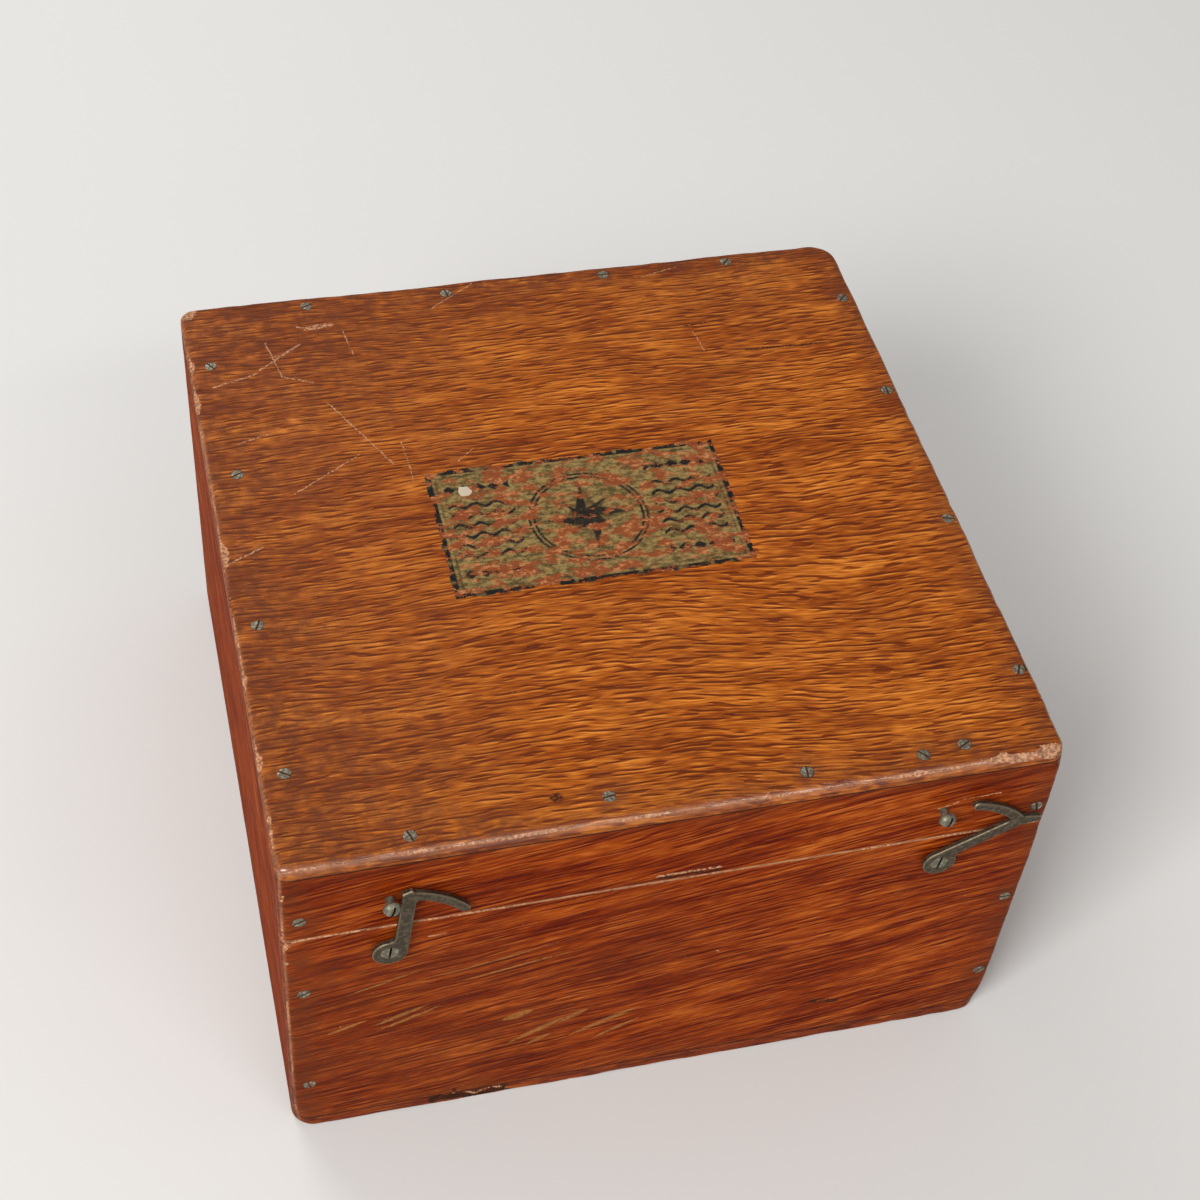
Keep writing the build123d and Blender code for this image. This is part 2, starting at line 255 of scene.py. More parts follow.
class Shading:
    """A material's node tree, with short calls for what the finishes are made of."""

    def __init__(self, name: str) -> None:
        """Start a material with a plain shader.

        Args:
            name: The material's name.
        """
        self.material = bpy.data.materials.new(name)
        self.material.use_nodes = True
        self.nodes = self.material.node_tree.nodes
        self.links = self.material.node_tree.links
        self.shader = self.nodes["Principled BSDF"]

    def feed(self, socket: Socket, value: Feed) -> None:
        """Link a socket, or set its value."""
        if isinstance(value, Socket):
            self.links.new(value, socket)
        elif isinstance(value, tuple) and len(value) == 3 and socket.type == "RGBA":
            socket.default_value = (*value, 1)
        else:
            socket.default_value = value

    def add(self, kind: str, inputs: dict[str | int, Feed] | None = None, **settings) -> bpy.types.Node:
        """Add a node.

        Args:
            kind: Its type, without ShaderNode.
            inputs: What goes into its sockets, by name or number.
            settings: Its properties.

        Returns:
            The node.
        """
        node = self.nodes.new("ShaderNode" + kind)
        for key, value in settings.items():
            setattr(node, key, value)
        for key, value in (inputs or {}).items():
            self.feed(node.inputs[key], value)
        return node

    def maths(self, operation: str, a: Feed, b: Feed = 0.0, c: Feed = 0.0, clamp: bool = False) -> Socket:
        """One sum of two numbers, or of three for MULTIPLY_ADD."""
        return self.add("Math", {0: a, 1: b, 2: c}, operation=operation, use_clamp=clamp).outputs[0]

    def vector(self, operation: str, a: Feed, b: Feed = (0.0, 0.0, 0.0)) -> bpy.types.Node:
        """One sum of two vectors."""
        return self.add("VectorMath", {0: a, 1: b}, operation=operation)

    def noise(self, place: Feed, detail: float = 2.0, rough: float = 0.5) -> Socket:
        """Cloudy noise with lumps about one unit across."""
        inputs = {"Vector": place, "Scale": 1.0, "Detail": detail, "Roughness": rough}
        return self.add("TexNoise", inputs).outputs["Fac"]

    def stretch(self, run: tuple[Socket, ...], sizes: Point) -> Socket:
        """The point with each distance counted in its own size."""
        parts: dict[str | int, Feed] = {}
        for number, (part, size) in enumerate(zip(run, sizes)):
            parts[number] = self.maths("DIVIDE", part, size)
        return self.add("CombineXYZ", parts).outputs[0]

    def scaled(self, place: Feed, rates: Point) -> Socket:
        """The point with each distance multiplied by its own rate."""
        return self.vector("MULTIPLY", place, rates).outputs[0]

    def centred(self, value: Feed) -> Socket:
        """A value from 0 to 1 moved to lie evenly about 0."""
        return self.maths("SUBTRACT", value, 0.5)

    def stroke(
        self, flat: Socket, start: Place, end: Place, width: float, tapered: bool = False
    ) -> Socket:
        """A straight stroke on a face, 1 on it and 0 beside it.

        Args:
            flat: The shaded point, flat on the face.
            start: Where the stroke starts.
            end: Where it ends.
            width: Half its width.
            tapered: Whether it thins out towards its ends and fades at its sides.

        Returns:
            The mask.
        """
        run = (end[0] - start[0], end[1] - start[1], 0.0)
        length = max(math.hypot(*run[:2]), 0.01)
        offset = self.vector("SUBTRACT", flat, (*start, 0.0)).outputs[0]
        share = self.vector("DOT_PRODUCT", offset, tuple(v / length**2 for v in run)).outputs["Value"]
        share = self.maths("MINIMUM", self.maths("MAXIMUM", share, 0.0), 1.0)
        nearest = self.add("VectorMath", {0: run, "Scale": share}, operation="SCALE").outputs[0]
        gap = self.vector("DISTANCE", offset, nearest).outputs["Value"]
        if not tapered:
            return self.step(gap, width, width * 0.45)
        taper = self.maths("MULTIPLY", share, self.maths("SUBTRACT", 1.0, share))
        gap = self.maths("DIVIDE", gap, self.maths("MULTIPLY_ADD", taper, 4 * width, 0.05))
        return self.step(gap, 1.0, 0.25)

    def step(self, value: Feed, low: float, high: float, end: float = 1.0) -> Socket:
        """Smooth step from 0 at low to an end value at high."""
        inputs = {"Value": value, "From Min": low, "From Max": high, "To Max": end}
        return self.add("MapRange", inputs, interpolation_type="SMOOTHSTEP").outputs["Result"]

    def mix(self, amount: Feed, a: Feed, b: Feed, mode: str = "MIX") -> Socket:
        """Blend of two colours."""
        node = self.add("Mix", {"Factor": amount}, data_type="RGBA", blend_type=mode)
        self.feed(node.inputs[6], a)
        self.feed(node.inputs[7], b)
        return node.outputs[2]

    def ramp(self, value: Feed, stops: list[tuple[float, Colour]]) -> Socket:
        """Colour along a row of stops."""
        node = self.add("ValToRGB", {"Fac": value})
        elements = node.color_ramp.elements
        for number, (place, colour) in enumerate(stops):
            element = elements[number] if number < 2 else elements.new(place)
            element.position = place
            element.color = (*colour, 1)
        return node.outputs["Color"]

    def painted(self, name: str) -> Socket:
        """A number stored on the mesh."""
        return self.add("Attribute", attribute_name=name).outputs["Fac"]

    def place(self) -> Socket:
        """The point being shaded, in millimetres."""
        point = self.add("TexCoord").outputs["Object"]
        return self.add("VectorMath", {0: point, "Scale": 1 / MM}, operation="SCALE").outputs[0]

    def bump(self, height: Feed, depth_mm: float, strength: float = 1.0) -> None:
        """Give the shader a relief from a height of 0 to 1."""
        node = self.add("Bump", {"Strength": strength, "Distance": depth_mm * MM, "Height": height})
        self.links.new(node.outputs[0], self.shader.inputs["Normal"])


class Grain(Enum):
    """How a board's grain runs: along it, up its face, and into it, by axis number."""

    TOP = (0, 1, 2)
    FRONT = (0, 2, 1)
    SIDE = (1, 2, 0)


class Finish:
    """A surface finish, whose material is made once."""

    made: ClassVar[dict[str, bpy.types.Material]] = {}
    name: str

    def material(self) -> bpy.types.Material:
        """The finish's material."""
        if self.name not in Finish.made:
            tree = Shading(self.name)
            self.paint(tree)
            Finish.made[self.name] = tree.material
        return Finish.made[self.name]

    def paint(self, tree: Shading) -> None:
        """Make the finish in an empty material."""
        raise NotImplementedError


class Mark(Enum):
    """What a stroke on a face is."""

    BARE = "varnish scratched off"
    DARK = "filled with dirt"
    RAY = "pale ray fleck in the wood"


@dataclass(frozen=True)
class Scar:
    """A stroke on a face, from one place to another, with half its width.

    A place is X and Y on the top, and X and the height on the front.
    """

    start: Place
    end: Place
    width: float
    kind: Mark = Mark.BARE


@dataclass(frozen=True)
class OakFinish(Finish):
    """Old varnished oak: streaks along the grain, dark lines, grime, bare wood where it is worn, and a
    highlight painted beside each pore.
    """

    name: str
    grain: Grain
    tones: tuple[Colour, ...]
    shift: Point = (0.0, 0.0, 0.0)
    slope: float = 0.0
    sweep: float = 0.0
    bend: float = 5.0
    bend_length: float = 110.0
    wobble: float = 1.4
    contrast: float = 1.0
    clouds: float = 0.42
    bands: float = 0.16
    dashes: float = 0.16
    threads: float = 0.36
    cloud_size: Point = (36.0, 13.0, 30.0)
    band_size: Point = (30.0, 3.6, 4.5)
    thread_size: Point = (5.5, 0.6, 0.9)
    fleck_size: Point = (9.0, 1.3, 5.0)
    line_length: float = 38.0
    line_gap: float = 2.3
    line_depth: float = 0.1
    dash_length: float = 9.0
    dash_gap: float = 1.05
    pore_depth: float = 0.22
    # How far across the grain the painted highlight lies from its pore.
    crest: float = 0.55
    # How much the painted highlight beside each pore lightens the colour.
    crest_highlight: float = 0.11
    level: float = 0.525
    relief: float = 0.34
    flecks: float = 0.0
    gloss: float = 0.16
    roughness: float = 0.34
    scars: tuple[Scar, ...] = ()
    dirt: Colour = (0.04, 0.013, 0.006)
    aged: Colour = (0.14, 0.034, 0.012)
    bare: Colour = (0.26, 0.11, 0.055)
    fresh: Colour = (0.66, 0.33, 0.17)
    ray: Colour = (0.44, 0.21, 0.055)
    # Pale colour of rubbed varnish, also a painted highlight along the top's front arris.
    rubbed: Colour = (0.42, 0.19, 0.10)
    stops: ClassVar[tuple[float, ...]] = (0.2, 0.33, 0.42, 0.5, 0.58, 0.68, 0.82)

    def run(self, tree: Shading) -> tuple[Socket, ...]:
        """The shaded point as distances along the grain, across it and into the board."""
        moved = tree.vector("ADD", tree.place(), self.shift).outputs[0]
        parts = tree.add("SeparateXYZ", {0: moved}).outputs
        along, across, deep = (parts[axis] for axis in self.grain.value)
        length = self.bend_length
        slow = tree.stretch((along, across, deep), (length, length / 2, length))
        sway = tree.maths("MULTIPLY", tree.centred(tree.noise(slow, 1.0)), self.bend * 2)
        lean = tree.maths("MULTIPLY", along, -self.slope)
        if self.sweep:
            turn = tree.step(along, 0.0, 90.0, self.sweep)
            lean = tree.maths("ADD", lean, tree.maths("MULTIPLY", turn, tree.step(across, 10.0, -60.0)))
        across = tree.maths("ADD", across, tree.maths("ADD", sway, lean))
        quick = tree.noise(tree.stretch((along, across, deep), (13.0, 7.0, 13.0)), 0.0)
        across = tree.maths("MULTIPLY_ADD", tree.centred(quick), self.wobble, across)
        return along, across, deep

    def wood(self, tree: Shading) -> tuple[Socket, Socket]:
        """Colour and relief of the clean varnished wood, with a highlight painted into the colour beside
        each pore.

        Args:
            tree: The material being made.

        Returns:
            The colour, and a height from 0 to 1.
        """
        along, across, deep = self.run(tree)
        run = (along, across, deep)
        below = (along, tree.maths("ADD", across, self.crest), deep)
        pore_size = (self.dash_length, self.dash_gap, 1.2)
        cloud = tree.noise(tree.stretch(run, self.cloud_size), 1.0)
        band = tree.noise(tree.stretch(run, self.band_size), 0.0)
        dash = tree.noise(tree.stretch(run, pore_size), 0.0)
        thread = tree.noise(tree.stretch(run, self.thread_size), 0.0)
        ring = tree.noise(tree.stretch(run, (self.line_length, self.line_gap, 4.0)), 0.0)
        ridge = tree.maths("ABSOLUTE", tree.centred(ring))
        groove = tree.maths("MULTIPLY", tree.step(ridge, 0.1, 0.02), tree.step(thread, 0.36, 0.52))
        pore = tree.step(dash, 0.42, 0.34)
        # Painted highlight: the pore pattern moved across the grain, lightening the colour beside each
        # pore and raising its crest.
        crest_highlight = tree.step(tree.noise(tree.stretch(below, pore_size), 0.0), 0.42, 0.33)
        value: Feed = self.level
        layers = ((cloud, self.clouds), (band, self.bands), (dash, self.dashes), (thread, self.threads))
        for part, weight in layers:
            value = tree.maths("MULTIPLY_ADD", tree.centred(part), weight * self.contrast, value)
        for mask, change in ((crest_highlight, self.crest_highlight), (groove, -self.line_depth), (pore, -self.pore_depth)):
            value = tree.maths("MULTIPLY_ADD", mask, change, value)
        colour = tree.ramp(value, list(zip(self.stops, self.tones)))
        if self.flecks:
            ray = tree.noise(tree.stretch(run, self.fleck_size), 1.0)
            fleck = tree.maths("MULTIPLY", tree.step(ray, 0.64, 0.74), tree.step(cloud, 0.5, 0.6))
            colour = tree.mix(tree.maths("MULTIPLY", fleck, self.flecks), colour, self.tones[-1])
        raised = tree.maths("MULTIPLY_ADD", crest_highlight, 0.4, tree.maths("MULTIPLY", thread, 0.5))
        height = tree.maths("SUBTRACT", raised, tree.maths("MULTIPLY_ADD", pore, 0.8, groove))
        return colour, height

    def paint(self, tree: Shading) -> None:
        """Lay age, dirt, scars and bare wood over the clean wood."""
        colour, height = self.wood(tree)
        place = tree.place()
        fuzz = tree.noise(place, 4.0, 0.65)
        grit = tree.noise(tree.scaled(place, (0.22, 0.22, 0.22)), 3.0, 0.6)
        aged = tree.maths("MULTIPLY", tree.painted("age"), tree.step(grit, 0.1, 0.8), clamp=True)
        colour = tree.mix(aged, colour, self.aged)
        # Darker in the joints, along the edges and inside the broken hole at the foot of the front.
        darkened = tree.step(tree.maths("MULTIPLY_ADD", fuzz, 0.5, tree.painted("dirt")), 0.55, 0.95)
        spread = tree.maths("MULTIPLY", tree.centred(fuzz), 1.1)
        worn = tree.step(tree.maths("ADD", tree.painted("bare"), spread), 0.42, 0.62)
        worn = tree.maths("MAXIMUM", worn, tree.step(fuzz, 0.715, 0.75, 0.8))
        kinds = {scar.kind for scar in self.scars}
        if Mark.RAY in kinds:
            ray = tree.maths("MULTIPLY", self.strokes(tree, place, fuzz, Mark.RAY), 0.62)
            colour = tree.mix(ray, colour, self.ray)
        if Mark.DARK in kinds:
            darkened = tree.maths("MAXIMUM", darkened, self.strokes(tree, place, fuzz, Mark.DARK))
        if Mark.BARE in kinds:
            worn = tree.maths("MAXIMUM", worn, self.strokes(tree, place, fuzz, Mark.BARE))
        # Paler where the varnish is rubbed thin on the arrises; along the top's front arris this is a
        # painted highlight.
        thinned_and_highlit = tree.maths("MULTIPLY", tree.painted("rubbed"), tree.step(fuzz, 0.3, 0.5, 0.8))
        colour = tree.mix(thinned_and_highlit, colour, self.rubbed)
        colour = tree.mix(darkened, colour, self.dirt)
        raw = tree.mix(tree.step(fuzz, 0.38, 0.66), self.bare, self.fresh)
        tree.feed(tree.shader.inputs["Base Color"], tree.mix(worn, colour, raw))
        rough = tree.maths("MULTIPLY_ADD", aged, 0.16, self.roughness)
        rough = tree.maths("MULTIPLY_ADD", worn, 0.3, rough)
        rough = tree.maths("MULTIPLY_ADD", grit, 0.2, tree.maths("SUBTRACT", rough, 0.1), clamp=True)
        tree.feed(tree.shader.inputs["Roughness"], rough)
        tree.shader.inputs["Specular IOR Level"].default_value = self.gloss
        tree.bump(tree.maths("SUBTRACT", height, tree.maths("MULTIPLY", worn, 0.3)), self.relief, 0.7)

    def strokes(self, tree: Shading, place: Socket, fuzz: Socket, kind: Mark) -> Socket:
        """Mask of the scars of a kind, broken up a little along them.

        Args:
            tree: The material being made.
            place: The shaded point.
            fuzz: Fine noise there.
            kind: Which of the scars.

        Returns:
            1 on a scar and 0 off it.
        """
        parts = tree.add("SeparateXYZ", {0: place}).outputs
        first, second, _ = self.grain.value
        shake = tree.add("TexNoise", {"Vector": place, "Scale": 0.35, "Detail": 2.0}).outputs["Color"]
        shake = tree.vector("SUBTRACT", shake, (0.5, 0.5, 0.5)).outputs[0]
        face = tree.add("CombineXYZ", {0: parts[first], 1: parts[second]}).outputs[0]
        flat = tree.vector("ADD", face, shake).outputs[0]
        total: Feed = 0.0
        for scar in self.scars:
            if scar.kind is kind:
                stroke = tree.stroke(flat, scar.start, scar.end, scar.width, kind is Mark.RAY)
                total = tree.maths("MAXIMUM", total, stroke)
        low, high = (0.2, 0.6) if kind is Mark.RAY else (0.38, 0.54)
        return tree.maths("MULTIPLY", total, tree.step(fuzz, low, high))


@dataclass(frozen=True)
class MetalFinish(Finish):
    """Old brass: dull patina, brighter where it is rubbed and darker where dirt lies."""

    name: str
    patina: Colour
    rubbed: Colour
    grime: Colour = (0.02, 0.014, 0.009)
    grain: float = 1.6
    uneven: float = 0.35
    painted: bool = False

    def paint(self, tree: Shading) -> None:
        """Mix patina, rubbed metal and grime."""
        place = tree.scaled(tree.place(), (1 / self.grain,) * 3)
        cloud = tree.noise(place, 4.0, 0.6)
        spots = tree.noise(tree.scaled(place, (4.0, 4.0, 4.0)), 2.0, 0.6)
        bright = tree.step(cloud, 0.42, 0.75, self.uneven)
        if self.painted:
            handled = tree.maths("MULTIPLY", tree.painted("rubbed"), tree.step(spots, 0.25, 0.5))
            bright = tree.maths("MAXIMUM", bright, handled)
        colour = tree.mix(bright, self.patina, self.rubbed)
        dark = tree.step(spots, 0.36, 0.24, 0.5)
        if self.painted:
            dark = tree.maths("MAXIMUM", dark, tree.painted("hollow"))
        tree.feed(tree.shader.inputs["Base Color"], tree.mix(dark, colour, self.grime))
        tree.feed(tree.shader.inputs["Roughness"], tree.maths("MULTIPLY_ADD", bright, -0.2, 0.56))
        tree.shader.inputs["Metallic"].default_value = 0.75
        tree.bump(tree.maths("MULTIPLY_ADD", spots, 0.35, cloud), 0.06, 0.6)


@dataclass(frozen=True)
class MattFinish(Finish):
    """A matt surface of two mingled colours: baize, dirt or the floor."""

    name: str
    colour: Colour
    varied: Colour
    size: float = 3.0
    fibre: float = 0.0

    def paint(self, tree: Shading) -> None:
        """Mingle the colours and raise a nap where there are fibres."""
        place = tree.scaled(tree.place(), (1 / self.size,) * 3)
        cloud = tree.noise(place, 3.0, 0.6)
        tree.feed(tree.shader.inputs["Base Color"], tree.mix(cloud, self.colour, self.varied))
        tree.shader.inputs["Roughness"].default_value = 0.92
        tree.shader.inputs["Specular IOR Level"].default_value = 0.1
        if self.fibre:
            tree.shader.inputs["Sheen Weight"].default_value = 0.25
            nap = tree.noise(tree.scaled(place, (3.0, 3.0, 3.0)), 3.0, 0.7)
            tree.bump(nap, self.fibre, 0.9)


@dataclass(frozen=True)
class TransferFinish(Finish):
    """A paper transfer under old varnish: khaki ground and dark print, rubbed through in patches."""

    name: str = "transfer"
    ground: Colour = (0.085, 0.058, 0.020)
    faded: Colour = (0.30, 0.20, 0.070)
    through: Colour = (0.25, 0.058, 0.018)
    fresh: Colour = (0.52, 0.20, 0.075)
    print: Colour = (0.012, 0.011, 0.011)
    wax: Colour = (0.56, 0.46, 0.34)

    def paint(self, tree: Shading) -> None:
        """Lay the print on the ground and rub both through in patches."""
        place = tree.place()
        fine = tree.noise(tree.scaled(place, (1.6, 1.6, 1.6)), 3.0, 0.65)
        broad = tree.noise(tree.scaled(place, (0.13, 0.26, 0.2)), 4.0, 0.62)
        mottled = tree.noise(tree.scaled(place, (0.4, 0.7, 0.5)), 4.0, 0.7)
        colour = tree.mix(tree.step(mottled, 0.36, 0.64), self.ground, self.faded)
        ink = tree.maths("MULTIPLY", tree.painted("ink"), tree.step(fine, 0.26, 0.42), clamp=True)
        colour = tree.mix(ink, colour, self.print)
        frayed = tree.maths("MULTIPLY_ADD", tree.centred(fine), 0.35, broad)
        rubbed = tree.step(frayed, 0.5, 0.54, 0.9)
        wood = tree.mix(tree.step(mottled, 0.48, 0.66), self.through, self.fresh)
        colour = tree.mix(rubbed, colour, wood)
        wax = tree.step(tree.maths("MULTIPLY_ADD", fine, 0.4, tree.painted("wax")), 0.55, 0.8)
        tree.feed(tree.shader.inputs["Base Color"], tree.mix(wax, colour, self.wax))
        tree.shader.inputs["Roughness"].default_value = 0.5
        tree.shader.inputs["Specular IOR Level"].default_value = 0.06
        tree.bump(tree.maths("SUBTRACT", fine, rubbed), 0.06, 0.7)


def store(mesh: bpy.types.Mesh, name: str, values: Array) -> None:
    """Keep a number for each of a mesh's points, for its finish to read."""
    layer = mesh.attributes.new(name, "FLOAT", "POINT")
    layer.data.foreach_set("value", values.astype(np.float32))


@dataclass
class Shape:
    """Points, faces and face finishes gathered for one mesh."""

    points: list[Array]
    faces: list[list[int]]
    looks: list[int]

    @classmethod
    def empty(cls) -> "Shape":
        """A shape with nothing in it."""
        return cls([], [], [])

    def add(self, points: Array, faces: list[list[int]], looks: list[int]) -> None:
        """Add points and the faces between them."""
        first = sum(len(block) for block in self.points)
        self.points.append(points)
        self.faces += [[first + i for i in face] for face in faces]
        self.looks += looks

    def piece(
        self,
        name: str,
        body: str,
        slot: str,
        finishes: list[Finish],
        marks: dict[str, Array] | None = None,
        crease: float = 40.0,
    ) -> bpy.types.Object:
        """Make the piece.

        Args:
            name: Its name.
            body: The body that it rides on.
            slot: The record's material slot; not used.
            finishes: Its finishes, which the faces' looks number.
            marks: Numbers for each point that the finishes read, by name.
            crease: The angle in degrees past which an edge stays sharp.

        Returns:
            The piece.
        """
        mesh = bpy.data.meshes.new(name)
        mesh.from_pydata((np.concatenate(self.points) * MM).tolist(), [], self.faces)
        mesh.polygons.foreach_set("material_index", self.looks)
        for mark, values in (marks or {}).items():
            store(mesh, mark, values)
        for finish in finishes:
            mesh.materials.append(finish.material())
        mesh.polygons.foreach_set("use_smooth", [True] * len(mesh.polygons))
        mesh.set_sharp_from_angle(angle=math.radians(crease))
        mesh.validate()
        piece = bpy.data.objects.new(name, mesh)
        bpy.context.scene.collection.objects.link(piece)
        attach(piece, body)
        LOG.info("%s: %d faces", name, len(mesh.polygons))
        return piece


@dataclass(frozen=True)
class SlottedHead:
    """A round screw with a slot: its profile from the middle outwards, then down its side."""

    profile: tuple[Place, ...]
    slot_floor: int
    half_slot: float = 0.38
    steps: int = 14
    # Profile rings from this one outwards take the dark second finish.
    dark_from: int = 99

    def shape(self) -> tuple[Array, list[list[int]], list[int]]:
        """Points with +Z out of the wood and the slot along X, faces, and 1 for each face that takes the
        dark second finish.
        """
        floor = self.profile[self.slot_floor][1]
        points: list[Point] = []
        halves: list[list[list[int]]] = []
        for side in (1, -1):
            rows = []
            for radius, height in self.profile:
                start = math.asin(min(1.0, self.half_slot / radius))
                turns = np.linspace(start, math.pi - start, self.steps + 1)
                rows.append([len(points) + number for number in range(len(turns))])
                for t in turns:
                    points.append((side * radius * math.cos(t), side * radius * math.sin(t), height))
            halves.append(rows)
        faces: list[list[int]] = []
        looks: list[int] = []
        floors = []
        for rows in halves:
            faces.append(rows[0])
            looks.append(0)
            for number, (inner, outer) in enumerate(zip(rows, rows[1:])):
                for i in range(self.steps):
                    faces.append([inner[i], outer[i], outer[i + 1], inner[i + 1]])
                    looks.append(int(number >= self.dark_from))
            cut = self.slot_floor
            top = [row[0] for row in reversed(rows[: cut + 1])] + [row[-1] for row in rows[: cut + 1]]
            bottom = [top[0]]
            for corner in top[1:-1]:
                bottom.append(len(points))
                points.append((*points[corner][:2], floor))
            bottom.append(top[-1])
            for i in range(len(top) - 1):
                wall = list(dict.fromkeys([top[i], top[i + 1], bottom[i + 1], bottom[i]]))
                faces.append(wall)
                looks.append(1)
            floors.append(bottom)
        near, far = floors[0], floors[1][::-1]
        for i in range(len(near) - 1):
            faces.append([near[i], near[i + 1], far[i + 1], far[i]])
            looks.append(1)
        for one, other in ((0, 1), (1, 0)):
            first, last = halves[one], halves[other]
            for i in range(self.slot_floor, len(self.profile) - 1):
                faces.append([last[i][-1], last[i + 1][-1], first[i + 1][0], first[i][0]])
                looks.append(int(i >= self.dark_from))
        faces.append((halves[0][-1] + halves[1][-1])[::-1])
        looks.append(1)
        return np.array(points), faces, looks

    def placed(self, head: Head, shape: Shape) -> None:
        """Add the screw to a shape where a head is."""
        points, faces, looks = self.shape()
        u, v, out = head.facing.axes
        turn = math.radians(head.turn)
        along = math.cos(turn) * u + math.sin(turn) * v
        axes = np.stack([along, np.cross(out, along), out])
        shape.add(np.array(head.centre) + points @ axes, faces, looks)


@dataclass(frozen=True)
class Site:
    """Where vertices lie on the case before it was worn, and how far they are from what wears it."""

    place: Array
    edge: Array
    outer: Array
    front: Array
    joint: Array
    seam: Array

    @classmethod
    def of(cls, place: Array, case: WornCase, own: tuple[Array, Array]) -> "Site":
        """Measure the distances of a board's vertices.

        Args:
            place: The vertices.
            case: The case that the board is part of.
            own: The least and greatest corner of the board.

        Returns:
            The places with their distances from the case's nearest edge, its nearest side, its front, the
            board's own nearest edge and the lid's seam.
        """
        x, y, z = place.T
        outer = np.minimum(case.half_width - np.abs(x), case.half_depth - np.abs(y))
        joint = np.sort(np.stack([*(place - own[0]).T, *(own[1] - place).T]), axis=0)[1]
        seam = np.abs(z - case.seam)
        return cls(place, case.edge_distance(place), outer, y + case.half_depth, joint, seam)


